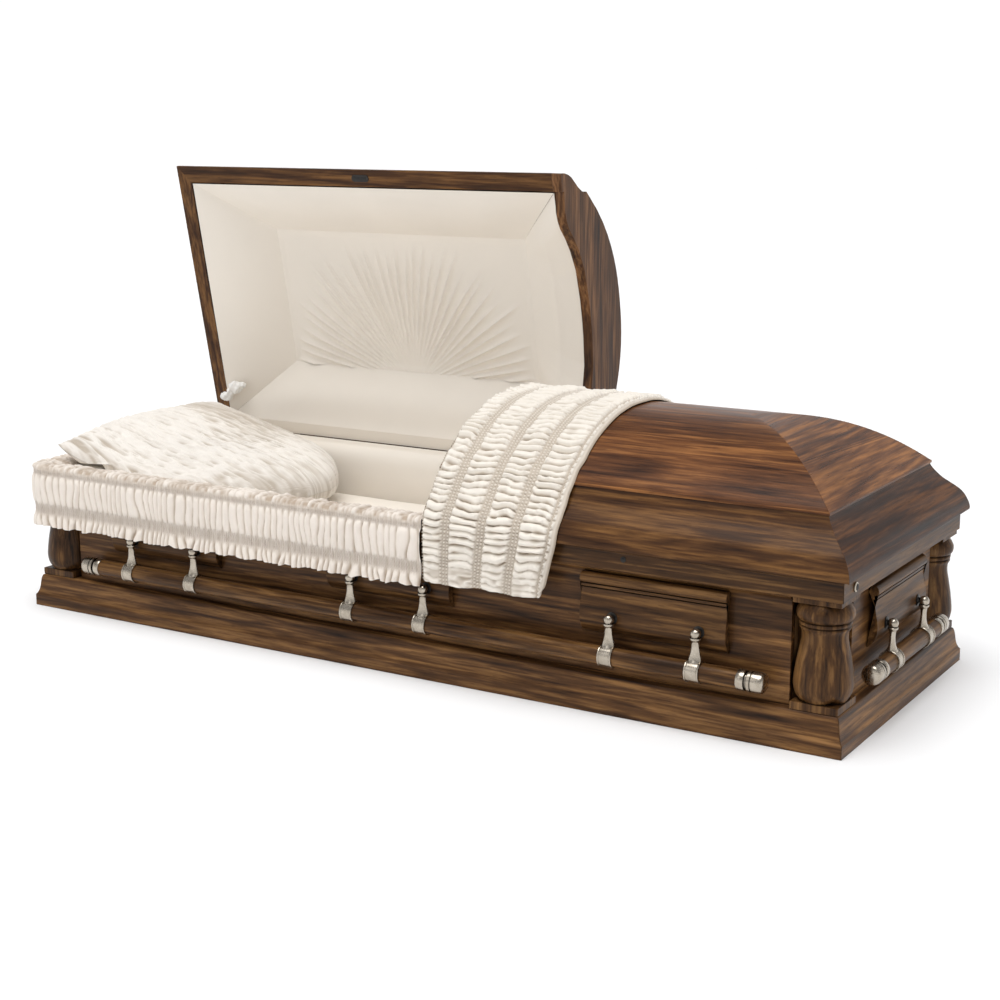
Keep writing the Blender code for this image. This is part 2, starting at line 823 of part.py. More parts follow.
# The pillow leans on the head wall: its side view from the head end, heights over bed and wall
PILLOW_SIDE_VIEW = [
    (0.190, BED_TOP + 0.001),
    (0.610, BED_TOP + 0.001),
    (0.665, BED_TOP + 0.027),
    (0.663, BED_TOP + 0.055),
    (0.615, BED_TOP + 0.083),
    (0.215, lining_top + 0.067),
    (0.160, lining_top + 0.063),
    (0.100, lining_top + 0.031),
    (0.085, lining_top + 0.015),
    (0.115, lining_top + 0.002),
    (0.185, lining_top + 0.002),
]
pillow_outline = [(-HALF_L + along, height) for along, height in PILLOW_SIDE_VIEW]
pillow_half = BED_HALF_Y - PILLOW_SIDE
pillow = prism(pillow_outline, -pillow_half, pillow_half, "Y")
pillow_left = [
    (-pillow_half - 0.004, BED_TOP - 0.085),
    (-pillow_half - 0.004, lining_top - 0.005),
    (-pillow_half + 0.017, lining_top + 0.037),
    (-pillow_half + 0.072, lining_top + 0.070),
]
pillow_front = pillow_left + [(-a, b) for a, b in reversed(pillow_left)]
pillow = joined(pillow, prism(pillow_front, -HALF_L, 0, "X"), "INTERSECT")
keep(tidied(pillow), "pillow", SHIRRED)

# Hinges on the back rail, each a leaf and its barrel on the lid's axis
HINGE_SPOTS = (-HALF_L + 0.245, CUT_X - 0.290, CUT_X + 0.190, HALF_L - 0.205)
for number, x in enumerate(HINGE_SPOTS, 1):
    face = HALF_W - RAIL_INSET + FIT
    leaf = block((x - HINGE_HALF, face, HINGE_Z - 0.033), (x + HINGE_HALF, face + 0.0015, HINGE_Z))
    barrel = rod(HINGE_R, 2 * HINGE_HALF, BALL_FACETS)
    leaf = joined(leaf, lengthwise(barrel, (x - HINGE_HALF, HINGE_Y, HINGE_Z)))
    keep(tidied(leaf), f"hinge_{number}", NICKEL)

# Round keyhole plate in the front rail and a turned plug in the foot rail
ring_rows = [(0, 0), (0.0062, 0), (0.0062, 0.0008), (0.0040, 0.0018), (0, 0.0018)]
keyhole = turned(ring_rows, FACETS)
keyhole.rotation_euler = (math.pi / 2, 0, 0)
keyhole.location = (HALF_L - 0.479, -HALF_W + RAIL_INSET - FIT, RAIL_TOP - 0.014)
keep(keyhole, "keyhole_plate", BLACK_STEEL)
PLUG_FROM_SIDE = 0.0745
plug = turned([(0, 0), (0.0105, 0), (0.0105, 0.0020), (0.0080, 0.0036), (0, 0.0036)], FACETS)
plug.rotation_euler = (0, math.pi / 2, 0)
plug.location = (HALF_L - RAIL_INSET + FIT, -HALF_W + PLUG_FROM_SIDE, (RAIL_BOTTOM + RAIL_TOP) / 2)
keep(plug, "rail_plug", NICKEL)


def pivot(name):
    """An empty on the hinge axis that carries one lid section."""
    made = bpy.data.objects.new(name, None)
    made.location = (0, HINGE_Y, HINGE_Z)
    parts.objects.link(made)
    return made


head_pivot = pivot("head_lid_pivot")
foot_pivot = pivot("foot_lid_pivot")
for carrier, pieces in ((head_pivot, head_pieces), (foot_pivot, foot_pieces)):
    for piece in pieces:
        bake(piece)
        piece.parent = carrier
        piece.location = (0, -HINGE_Y, -HINGE_Z)
head_pivot.rotation_euler = (-HEAD_LID_OPEN, 0, 0)

# Round surfaces are shaded smooth up to a modest angle
for piece in parts.objects:
    if piece.type == "MESH":
        piece.data.shade_smooth()
        piece.data.set_sharp_from_angle(angle=math.radians(32))
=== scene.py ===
# %% [markdown]
# # A wooden coffin with its head lid open
# The solid model is the frame of this scene. It holds every board, lid and handle where it belongs.
# Here each piece gets its real finish, and the cloth ones get their real folds.

# %% Load the frame
import math

import bmesh
import bpy
import numpy as np
from mathutils import Matrix, Vector


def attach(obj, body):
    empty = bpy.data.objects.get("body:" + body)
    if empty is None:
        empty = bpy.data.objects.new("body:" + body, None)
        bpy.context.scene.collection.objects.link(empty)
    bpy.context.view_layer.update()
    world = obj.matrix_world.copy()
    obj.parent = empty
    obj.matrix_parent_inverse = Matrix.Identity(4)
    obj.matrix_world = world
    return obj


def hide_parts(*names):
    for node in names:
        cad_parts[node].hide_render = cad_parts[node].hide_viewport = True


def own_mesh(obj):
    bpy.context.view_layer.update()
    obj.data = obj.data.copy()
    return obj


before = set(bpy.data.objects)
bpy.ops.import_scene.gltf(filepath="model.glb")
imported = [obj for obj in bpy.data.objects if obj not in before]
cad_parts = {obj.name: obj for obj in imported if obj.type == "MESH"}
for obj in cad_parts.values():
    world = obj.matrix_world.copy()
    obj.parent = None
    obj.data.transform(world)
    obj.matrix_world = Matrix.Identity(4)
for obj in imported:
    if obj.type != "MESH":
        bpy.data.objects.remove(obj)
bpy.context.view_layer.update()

# %% [markdown]
# ## The sizes that the pieces share
# The cloth has to lie on the boards, so its sizes start from the same few numbers as the boards do.
# Lengths run along X with the head end at -X, the hinges are at +Y, and heights are along Z.

# %% Shared sizes
HALF_L = 1.065
HALF_W = 0.3715
RAIL_TOP = 0.345
LID_BOTTOM = 0.348
CUT_X = 0.110
HINGE = Vector((0, 0.362, 0.345))
LID_OPEN = math.radians(78.7)

# %% [markdown]
# ## The camera
# A photograph's viewpoint can be worked out from corners whose sizes are known.
# A long lens from the front right, a little above the lid, keeps the long side nearly straight.

# %% Camera
camera_data = bpy.data.cameras.new("camera")
camera_data.lens = 64.03
camera_data.sensor_width = 36
camera = bpy.data.objects.new("camera", camera_data)
camera.location = (2.181, -3.449, 1.222)
camera.rotation_euler = (math.radians(77.52), math.radians(0.125), math.radians(31.36))
bpy.context.scene.collection.objects.link(camera)
bpy.context.scene.camera = camera
bpy.context.scene.view_settings.view_transform = "Standard"
print("camera at", [round(x, 2) for x in camera.location])

# %% [markdown]
# ## Small helpers for node materials
# A finish is a chain of nodes. Two short helpers make a node with its settings and join two sockets,
# so that each finish below reads as a recipe.


# %% Node helpers
def new_finish(name):
    finish = bpy.data.materials.new(name)
    finish.use_nodes = True
    tree = finish.node_tree
    return finish, tree, tree.nodes["Principled BSDF"]


def node(tree, kind, inputs=None, **settings):
    made = tree.nodes.new("ShaderNode" + kind)
    for key, value in settings.items():
        setattr(made, key, value)
    for key, value in (inputs or {}).items():
        if isinstance(value, bpy.types.NodeSocket):
            tree.links.new(value, made.inputs[key])
        else:
            made.inputs[key].default_value = value
    return made


def maths(tree, operation, a, b=0.0):
    return node(tree, "Math", {0: a, 1: b}, operation=operation).outputs[0]


def ramp(tree, factor, stops):
    made = node(tree, "ValToRGB", {"Fac": factor})
    while len(made.color_ramp.elements) < len(stops):
        made.color_ramp.elements.new(0.5)
    for element, (spot, colour) in zip(made.color_ramp.elements, stops):
        element.position = spot
        element.color = (*colour, 1)
    return made.outputs["Color"]


def blended(tree, how, factor, a, b):
    made = node(tree, "Mix", data_type="RGBA", blend_type=how)
    for socket, value in ((made.inputs[0], factor), (made.inputs[6], a), (made.inputs[7], b)):
        if isinstance(value, bpy.types.NodeSocket):
            tree.links.new(value, socket)
        else:
            socket.default_value = value
    return made.outputs[2]


def bumped(tree, height, strength, distance, normal=None):
    made = node(tree, "Bump", {"Height": height, "Strength": strength, "Distance": distance})
    if normal is not None:
        tree.links.new(normal, made.inputs["Normal"])
    return made.outputs["Normal"]


# %% [markdown]
# ## Stained walnut
# Real boards show long streaks, growth rings that wander, open pores, and a paler line on each arris that is part wear
# and part painted highlight.
# A picture of wood would repeat and stretch. Noise that is squeezed along the grain never does,
# and the level lines of that noise look like growth rings. Each board gets its own tone, and painted shade darkens its
# crevices.


# %% Walnut finishes
GRAIN = {"X": (0.055, 1, 1), "Y": (1, 0.055, 1), "Z": (1, 1, 0.055)}


def walnut(name, along, dark, middle, light, boards=None, roughness=0.36, rings=7.0):
    finish, tree, shader = new_finish(name)
    spot = node(tree, "TexCoord").outputs["Object"]
    if boards:
        axis, width, start = boards
        parts = node(tree, "SeparateXYZ", {0: spot})
        place = maths(tree, "DIVIDE", maths(tree, "SUBTRACT", parts.outputs[axis], start), width)
        number = maths(tree, "FLOOR", place)
        tone = node(tree, "TexWhiteNoise", {"W": number}, noise_dimensions="1D").outputs["Value"]
        shift = node(tree, "CombineXYZ", {0: maths(tree, "MULTIPLY", number, 3.7), 1: number, 2: number})
        spot = node(tree, "VectorMath", {0: spot, 1: shift.outputs[0]}, operation="ADD").outputs[0]
    squeezed = node(tree, "Mapping", {"Vector": spot, "Scale": GRAIN[along]}).outputs[0]

    def noise(scale, detail, vector=squeezed, distortion=0.0):
        inputs = {"Vector": vector, "Scale": scale, "Detail": detail, "Distortion": distortion}
        return node(tree, "TexNoise", inputs).outputs["Fac"]

    figure = noise(12.0, 3.0, distortion=0.7)
    fibre = noise(210.0, 4.0)
    streak = noise(74.0, 3.0)
    ring = maths(tree, "PINGPONG", maths(tree, "MULTIPLY", figure, rings), 0.5)
    mixed = maths(tree, "MULTIPLY", figure, 0.38)
    mixed = maths(tree, "ADD", mixed, maths(tree, "MULTIPLY", ring, 0.34))
    mixed = maths(tree, "ADD", mixed, maths(tree, "MULTIPLY", streak, 0.52))
    mixed = maths(tree, "ADD", mixed, maths(tree, "MULTIPLY", fibre, 0.44))
    mixed = maths(tree, "SUBTRACT", mixed, 0.25)
    colour = ramp(tree, mixed, [(0.28, dark), (0.49, middle), (0.70, light)])
    cloud = noise(2.6, 2.0, vector=spot)
    shade = ramp(tree, cloud, [(0.30, (0.72, 0.70, 0.68)), (0.70, (1.14, 1.12, 1.08))])
    colour = blended(tree, "MULTIPLY", 1.0, colour, shade)
    if boards:
        per_board = ramp(tree, tone, [(0.0, (0.80, 0.79, 0.78)), (1.0, (1.16, 1.15, 1.12))])
        colour = blended(tree, "MULTIPLY", 1.0, colour, per_board)
        edge = maths(tree, "ABSOLUTE", maths(tree, "SUBTRACT", maths(tree, "FRACT", place), 0.5))
        joint = maths(tree, "GREATER_THAN", edge, 0.5 - 0.0005 / width)
        colour = blended(tree, "MIX", maths(tree, "MULTIPLY", joint, 0.6), colour, (*dark, 1))
    pore = maths(tree, "GREATER_THAN", noise(620.0, 1.0), 0.655)
    colour = blended(tree, "MIX", maths(tree, "MULTIPLY", pore, 0.38), colour, (*dark, 1))
    # The pale arris line is part wear and part painted highlight: the colour is lightened where the rounded normal
    # turns away from the true face.
    soft = node(tree, "Bevel", {"Radius": 0.0022}, samples=4).outputs[0]
    true = node(tree, "NewGeometry").outputs["Normal"]
    same = node(tree, "VectorMath", {0: soft, 1: true}, operation="DOT_PRODUCT").outputs["Value"]
    worn_and_highlight = maths(tree, "MULTIPLY", maths(tree, "SUBTRACT", 1.0, same), 1.5)
    worn_and_highlight = node(tree, "Clamp", {"Value": worn_and_highlight}).outputs[0]
    colour = blended(tree, "MIX", maths(tree, "MULTIPLY", worn_and_highlight, 0.55), colour, (*light, 1))
    # Painted shade: the colour is darkened where the surface is closed in, in crevices, grooves, joints and under the
    # lid's overhang.
    opening = node(tree, "AmbientOcclusion", {"Distance": 0.009}, samples=4).outputs["AO"]
    crevice_shade = ramp(tree, opening, [(0.30, (0.10, 0.09, 0.08)), (0.72, (1.0, 1.0, 1.0))])
    colour = blended(tree, "MULTIPLY", 1.0, colour, crevice_shade)
    tree.links.new(colour, shader.inputs["Base Color"])
    gloss = ramp(tree, streak, [(0.3, (roughness - 0.05,) * 3), (0.7, (roughness + 0.07,) * 3)])
    tree.links.new(gloss, shader.inputs["Roughness"])
    shader.inputs["Specular IOR Level"].default_value = 0.13
    shader.inputs["Coat Weight"].default_value = 0.04
    shader.inputs["Coat Roughness"].default_value = 0.18
    relief = maths(tree, "SUBTRACT", maths(tree, "MULTIPLY", fibre, 0.6), maths(tree, "MULTIPLY", pore, 0.5))
    tree.links.new(bumped(tree, relief, 0.22, 0.0006, soft), shader.inputs["Normal"])
    return finish


BODY = ((0.012, 0.005, 0.002), (0.068, 0.031, 0.011), (0.200, 0.102, 0.036))
CROWN = ((0.030, 0.010, 0.004), (0.145, 0.055, 0.019), (0.360, 0.155, 0.050))
PANEL = ((0.017, 0.007, 0.003), (0.094, 0.043, 0.016), (0.270, 0.138, 0.050))
# Painted light: the posts get a much paler tone than the other boards, standing in for light on their faces in the
# shaded niches beside the urns.
POST_PAINTED_LIGHT = ((0.060, 0.030, 0.012), (0.230, 0.125, 0.055), (0.450, 0.260, 0.120))
HEADER = ((0.020, 0.008, 0.004), (0.115, 0.052, 0.021), (0.320, 0.155, 0.064))
OGEE_TONE = ((0.014, 0.005, 0.002), (0.072, 0.030, 0.010), (0.205, 0.097, 0.031))
# Painted shade: the moulding's end boards get a darker copy of the ogee tone, because the end lies in less light.
OGEE_END_PAINTED_SHADE = ((0.009, 0.003, 0.001), (0.046, 0.016, 0.005), (0.140, 0.056, 0.018))
body_long = walnut("body_walnut_long", "X", *BODY)
body_cross = walnut("body_walnut_cross", "Y", *BODY)
base_long = walnut("base_walnut_long", "X", *PANEL)
base_cross = walnut("base_walnut_cross", "Y", *PANEL)
post_upright_painted_light = walnut("post_walnut_painted_light", "Z", *POST_PAINTED_LIGHT)
header_upright = walnut("header_walnut_upright", "Z", *HEADER)
body_upright = walnut("body_walnut_upright", "Z", *BODY)
panel_long = walnut("panel_walnut_long", "X", *PANEL, boards=("Z", 0.146, 0.079))
panel_cross = walnut("panel_walnut_cross", "Y", *PANEL, boards=("Z", 0.146, 0.079))
crown_long = walnut("crown_walnut_long", "X", *CROWN, boards=("Y", 0.130, -0.042), roughness=0.31)
crown_cross = walnut("crown_walnut_cross", "Y", *CROWN, roughness=0.31, rings=11.0)
ogee_long = walnut("ogee_walnut_long", "X", *OGEE_TONE, roughness=0.33)
ogee_cross = walnut("ogee_walnut_cross", "Y", *OGEE_END_PAINTED_SHADE, roughness=0.40)
ogee_raised = walnut("ogee_walnut_raised", "Z", *OGEE_TONE, roughness=0.33)
crown_raised = walnut("crown_walnut_raised", "Z", *CROWN, roughness=0.31)
crown_long_raised = walnut(
    "crown_walnut_long_raised", "X", *CROWN, boards=("Z", 0.130, 0.020), roughness=0.31
)
bar_long = walnut("bar_walnut_long", "X", *BODY, roughness=0.30)
bar_cross = walnut("bar_walnut_cross", "Y", *BODY, roughness=0.30)
print("walnut finishes:", len([m for m in bpy.data.materials if "walnut_" in m.name]))

# %% [markdown]
# ## Aged nickel and black steel
# The handle fittings are plated and rubbed: bright on the crests, brown-black in the corners.
# Shading that knows how closed in a spot is finds the corners, so the dirt sits where it would.


# %% Metal finishes
def metal(name, bright, dull, rough, closeness):
    finish, tree, shader = new_finish(name)
    spot = node(tree, "TexCoord").outputs["Object"]
    stretched = node(tree, "Mapping", {"Vector": spot, "Scale": (1.0, 1.0, 0.12)}).outputs[0]
    brushed = node(tree, "TexNoise", {"Vector": stretched, "Scale": 900.0, "Detail": 2.0}).outputs["Fac"]
    cloud = node(tree, "TexNoise", {"Vector": spot, "Scale": 70.0, "Detail": 3.0}).outputs["Fac"]
    opening = node(tree, "AmbientOcclusion", {"Distance": closeness}, samples=6, only_local=True)
    clean = ramp(tree, opening.outputs["AO"], [(0.45, dull), (0.92, bright)])
    tint = ramp(tree, cloud, [(0.3, (0.82, 0.80, 0.77)), (0.7, (1.05, 1.05, 1.05))])
    tree.links.new(blended(tree, "MULTIPLY", 1.0, clean, tint), shader.inputs["Base Color"])
    shader.inputs["Metallic"].default_value = 1.0
    gloss = ramp(tree, brushed, [(0.3, (rough - 0.06,) * 3), (0.7, (rough + 0.10,) * 3)])
    tree.links.new(gloss, shader.inputs["Roughness"])
    tree.links.new(bumped(tree, brushed, 0.04, 0.0002), shader.inputs["Normal"])
    return finish


nickel = metal("antique_nickel_rubbed", (0.48, 0.43, 0.36), (0.016, 0.011, 0.008), 0.22, 0.020)
black_steel = metal("black_steel_oiled", (0.050, 0.048, 0.046), (0.012, 0.012, 0.012), 0.42, 0.004)
print("metal finishes: 2")

# %% [markdown]
# ## Ivory crepe, smooth and shirred
# The lid and body are lined with plain crepe drawn over padding. The pillow, skirt and throw are the same
# cloth gathered on threads, and look whiter because their folds catch more light.
# The weave is two fine wave patterns that cross. A little sheen gives the soft edge that cloth has. The gathered cloths
# get painted shade at the bottom of their folds.


# %% Cloth finishes
def crepe(name, colour, crinkle, ticks=None, fold_shade=None):
    finish, tree, shader = new_finish(name)
    spot = node(tree, "TexCoord").outputs["Object"]
    warp = node(tree, "TexWave", {"Vector": spot, "Scale": 330.0, "Distortion": 1.5, "Detail": 1.0})
    weft = node(tree, "TexWave", {"Vector": spot, "Scale": 330.0, "Distortion": 1.5}, bands_direction="Z")
    weave = maths(tree, "MULTIPLY", warp.outputs["Fac"], weft.outputs["Fac"])
    grain = node(tree, "TexNoise", {"Vector": spot, "Scale": 420.0, "Detail": 3.0}).outputs["Fac"]
    large = node(tree, "TexNoise", {"Vector": spot, "Scale": 5.0, "Detail": 2.0}).outputs["Fac"]
    tint = ramp(tree, large, [(0.3, tuple(c * 0.965 for c in colour)), (0.7, colour)])
    # Painted shade: the colour is darkened and warmed towards the bottom of each fold, as read from the fold attribute.
    if fold_shade is not None:
        fold = node(tree, "Attribute", attribute_name="fold").outputs["Fac"]
        tint = blended(tree, "MULTIPLY", 1.0, tint, ramp(tree, fold, [(0.05, fold_shade), (0.60, (1.0, 1.0, 1.0))]))
    tree.links.new(tint, shader.inputs["Base Color"])
    shader.inputs["Roughness"].default_value = 0.82
    shader.inputs["Sheen Weight"].default_value = 0.12
    shader.inputs["Sheen Roughness"].default_value = 0.45
    normal = bumped(tree, weave, 0.10, 0.0002)
    normal = bumped(tree, grain, crinkle, 0.0008, normal)
    if ticks is not None:
        normal = bumped(tree, ticks(tree, spot), 0.75, 0.0012, normal)
    tree.links.new(normal, shader.inputs["Normal"])
    return finish


def skirt_ticks(tree, spot):
    """Fine upright gathers in the two stitched bands of the skirt."""
    parts = node(tree, "SeparateXYZ", {0: spot})
    along = maths(tree, "ADD", parts.outputs[0], parts.outputs[1])
    wave = maths(tree, "SINE", maths(tree, "MULTIPLY", along, math.tau / 0.0062))
    height = parts.outputs[2]
    bands = None
    for middle, half in ((0.3440, 0.0050), (0.2560, 0.0130)):
        away = maths(tree, "ABSOLUTE", maths(tree, "SUBTRACT", height, middle))
        inside = maths(tree, "LESS_THAN", away, half)
        bands = inside if bands is None else maths(tree, "ADD", bands, inside)
    return maths(tree, "MULTIPLY", wave, bands)


lining_crepe = crepe("ivory_crepe_smooth", (0.845, 0.785, 0.700), 0.06)
pillow_crepe = crepe("ivory_crepe_pillow", (0.80, 0.755, 0.695), 0.22, fold_shade=(0.62, 0.57, 0.51))
throw_crepe = crepe("ivory_crepe_throw", (0.82, 0.765, 0.685), 0.18, fold_shade=(0.50, 0.43, 0.36))
skirt_crepe = crepe("ivory_crepe_skirt", (0.80, 0.730, 0.655), 0.18, skirt_ticks, fold_shade=(0.56, 0.49, 0.42))
knot_crepe = crepe("white_crepe_knots", (0.88, 0.86, 0.82), 0.15)
print("cloth finishes: 5")

# %% [markdown]
# ## Helpers for shapes
# Most pieces here are a line of points carried along a path or spun about an axis.
# One helper turns a table of points into a smooth skin, and another makes a rough line into a fair curve.


# %% Shape helpers
def skin(name, points, finishes, wrap_rows=False, wrap_columns=False):
    """A smooth mesh over a grid of points, rows by columns."""
    rows, columns = points.shape[:2]
    row = np.arange(rows if wrap_rows else rows - 1)
    column = np.arange(columns if wrap_columns else columns - 1)
    a, b = np.meshgrid(row, column, indexing="ij")
    c, d = (a + 1) % rows, (b + 1) % columns
    quads = np.stack([a * columns + b, a * columns + d, c * columns + d, c * columns + b], -1)
    mesh = bpy.data.meshes.new(name)
    mesh.from_pydata(points.reshape(-1, 3).tolist(), [], quads.reshape(-1, 4).tolist())
    for finish in finishes if isinstance(finishes, (list, tuple)) else [finishes]:
        mesh.materials.append(finish)
    mesh.polygons.foreach_set("use_smooth", [True] * len(mesh.polygons))
    made = bpy.data.objects.new(name, mesh)
    bpy.context.scene.collection.objects.link(made)
    return made


def fair(points, step):
    """A fair curve through a few points, with points about one step apart."""
    points = np.array(points, float)
    before = np.vstack([2 * points[0] - points[1], points])
    line = np.vstack([before, 2 * points[-1] - points[-2]])
    out = []
    for i in range(1, len(line) - 2):
        p, q, r, s = line[i - 1], line[i], line[i + 1], line[i + 2]
        count = max(2, int(np.linalg.norm(r - q) / step))
        for t in np.linspace(0, 1, count, endpoint=False):
            curve = 2 * q + (r - p) * t + (2 * p - 5 * q + 4 * r - s) * t**2 + (3 * q - p - 3 * r + s) * t**3
            out.append(curve / 2)
    out.append(line[-2])
    return np.array(out)


def soft_noise(u, v, seed):
    """Smooth noise from -1 to 1 with one lump a unit wide."""
    table = np.random.default_rng(seed).random((96, 96)) * 2 - 1
    u, v = np.broadcast_arrays(u, v)
    i, j = np.floor(u).astype(int), np.floor(v).astype(int)
    a, b = u - i, v - j
    a, b = a * a * (3 - 2 * a), b * b * (3 - 2 * b)
    low = table[i % 96, j % 96] * (1 - a) + table[(i + 1) % 96, j % 96] * a
    high = table[i % 96, (j + 1) % 96] * (1 - a) + table[(i + 1) % 96, (j + 1) % 96] * a
    return low * (1 - b) + high * b


def rise(value, low, high):
    t = np.clip((value - low) / (high - low), 0, 1)
    return t * t * (3 - 2 * t)


def spun(name, profile, finishes, segments=48, upright=True):
    """A turned piece about Z, or about X when it lies along the length."""
    profile = np.array(profile, float)
    turn = np.linspace(0, math.tau, segments, endpoint=False)
    radius, along = profile[:, 0][:, None], profile[:, 1][:, None]
    flat = np.broadcast_to(along, (len(profile), segments))
    if upright:
        points = np.stack([radius * np.cos(turn), radius * np.sin(turn), flat], -1)
    else:
        points = np.stack([flat, -radius * np.cos(turn), radius * np.sin(turn)], -1)
    return skin(name, points, finishes, wrap_columns=True)


def folds_of(piece, relief):
    """Store how low each point lies in its folds, from 0 in the deepest to 1 on a crest, as the mask for the painted
    fold shade in the cloth finishes.
    """
    low, high = np.percentile(relief, [2, 98])
    depth = piece.data.attributes.new("fold", "FLOAT", "POINT")
    depth.data.foreach_set("value", np.clip((relief - low) / (high - low), 0, 1).astype(np.float32).ravel())
    return piece


def united(pieces, name):
    """Several pieces made into one object."""
    bpy.ops.object.select_all(action="DESELECT")
    for piece in pieces:
        piece.select_set(True)
    bpy.context.view_layer.objects.active = pieces[0]
    bpy.ops.object.join()
    pieces[0].name = name
    return pieces[0]


def cleaned(piece, gap=None):
    """Merge points that are closer than the gap, and turn every face outward."""
    shape = bmesh.new()
    shape.from_mesh(piece.data)
    if gap is not None:
        bmesh.ops.remove_doubles(shape, verts=shape.verts, dist=gap)
    bmesh.ops.recalc_face_normals(shape, faces=shape.faces)
    shape.to_mesh(piece.data)
    shape.free()


def triangles(piece):
    return sum(len(face.vertices) - 2 for face in piece.data.polygons)


def opened(piece):
    """Swing a piece that was made on the shut head lid to where the open lid stands."""
    turn = Matrix.Rotation(-LID_OPEN, 4, "X")
    piece.data.transform(Matrix.Translation(HINGE) @ turn @ Matrix.Translation(-HINGE))
    return piece


# %% [markdown]
# ## Boards that stay as they are
# The base moulding, panels, rails, posts and plaques already have their true sections.
# They only need a finish with its grain along the board, and a hair of rounding on each arris,
# because a real sharp edge is never perfectly sharp and always catches a line of light.


# %% Dress the boards
def dressed(name, finish, edge=0.0008):
    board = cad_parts[name]
    if "custom_normal" in board.data.attributes:
        board.data.attributes.remove(board.data.attributes["custom_normal"])
    board.data.polygons.foreach_set("use_smooth", [True] * len(board.data.polygons))
    weld = board.modifiers.new("weld", "WELD")
    weld.merge_threshold = 0.00003
    round_over = board.modifiers.new("arris", "BEVEL")
    round_over.width = edge
    round_over.segments = 2
    round_over.limit_method = "ANGLE"
    round_over.angle_limit = math.radians(40)
    round_over.harden_normals = True
    split = board.modifiers.new("edges", "EDGE_SPLIT")
    split.split_angle = math.radians(38)
    board.data.materials.clear()
    board.data.materials.append(finish)


def grooved_plaque(name, finish, across):
    """The plaque's own section with two real grooves, carried along the solid's length."""
    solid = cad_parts[name]
    place = solid.matrix_world
    spots = np.array([place @ point.co for point in solid.data.vertices])
    along, out = (0, 1) if across else (1, 0)
    face = HALF_W - 0.038 if across else HALF_L - 0.038
    sign = 1 if spots[:, out].mean() > 0 else -1
    low, high = spots[:, along].min(), spots[:, along].max()
    line = np.array(PLAQUE_LINE)
    steps = np.linspace(low, high, 12)[:, None]
    rows = np.empty((12, len(line), 3))
    rows[..., along] = steps
    rows[..., out] = sign * (face + line[:, 0])
    rows[..., 2] = line[:, 1]
    ends = []
    for row in (rows[0], rows[-1]):
        middle = np.broadcast_to(row.mean(axis=0), row.shape)
        ends.append(skin("end", np.stack([row, middle]), finish))
    made = united([skin("face", rows, finish), *ends], f"{name}_grooved")
    cleaned(made, 0.00002)
    made.data.set_sharp_from_angle(angle=math.radians(32))
    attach(made, "root")
    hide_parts(name)


PLAQUE_LINE = [
    (0.0004, 0.163), (0.0030, 0.163), (0.0100, 0.1685), (0.0155, 0.1755), (0.0190, 0.183), (0.0213, 0.191),
    (0.0222, 0.200), (0.0220, 0.208), (0.0208, 0.218), (0.0192, 0.226), (0.0175, 0.234), (0.0160, 0.241),
    (0.0150, 0.248), (0.0151, 0.254), (0.0158, 0.2590), (0.0158, 0.2594), (0.0112, 0.2598), (0.0112, 0.2616),
    (0.0164, 0.2620), (0.0168, 0.2640), (0.0178, 0.2676), (0.0178, 0.2680), (0.0132, 0.2684), (0.0132, 0.2702),
    (0.0186, 0.2706), (0.0212, 0.2740), (0.0221, 0.2775), (0.0220, 0.280), (0.0211, 0.2836), (0.0195, 0.286),
    (0.0170, 0.2888), (0.0140, 0.2905), (0.0110, 0.2916), (0.0080, 0.292), (0.0004, 0.2785),
]
LONG_SIDES = ("front", "back")
for side in ("front", "back", "head", "foot"):
    straight = body_long if side in LONG_SIDES else body_cross
    panelled = panel_long if side in LONG_SIDES else panel_cross
    dressed(f"base_{side}", base_long if side in LONG_SIDES else base_cross, 0.0010)
    dressed(f"rail_{side}", straight)
    dressed(f"panel_{side}", panelled, 0.0003)
for corner in ("front_head", "front_foot", "back_head", "back_foot"):
    dressed(f"post_{corner}", post_upright_painted_light)
for side in LONG_SIDES:
    for spot in ("left", "middle", "right"):
        grooved_plaque(f"plaque_{side}_{spot}", body_long, True)
for side in ("head", "foot"):
    grooved_plaque(f"plaque_{side}", body_cross, False)
    dressed(f"{side}_lid_header", header_upright, 0.0010)
dressed("bottom_board", body_long)
dressed("bed_board", body_long)
for fitting in ("hinge_1", "hinge_2", "hinge_3", "hinge_4", "rail_plug"):
    dressed(fitting, nickel, 0.0003)
for fitting in ("keyhole_plate", "latch_plate", "lid_stay_plate"):
    dressed(fitting, black_steel, 0.0002)
print("boards and fittings dressed")

# %% [markdown]
# ## The lid's moulding and crown
# Each lid section is four moulded boards mitred round a domed top, with the dome hipped at its end.
# The solid shows the dome in flats. A finer skin on the same section rolls smoothly,
# and the boards across the end can have their grain across, as real ones do.


# %% Lid boards
OGEE = [
    (-0.0025, 0.3494), (-0.0028, 0.355), (0.0, 0.367), (0.008, 0.385), (0.0175, 0.398),
    (0.032, 0.4115), (0.047, 0.425), (0.060, 0.441), (0.067, 0.452), (0.0695, 0.4585),
]


def crown_top(inset):
    share = (HALF_W - inset) / (HALF_W - 0.0695)
    return 0.585 - 0.1195 * np.abs(share) ** 2.3


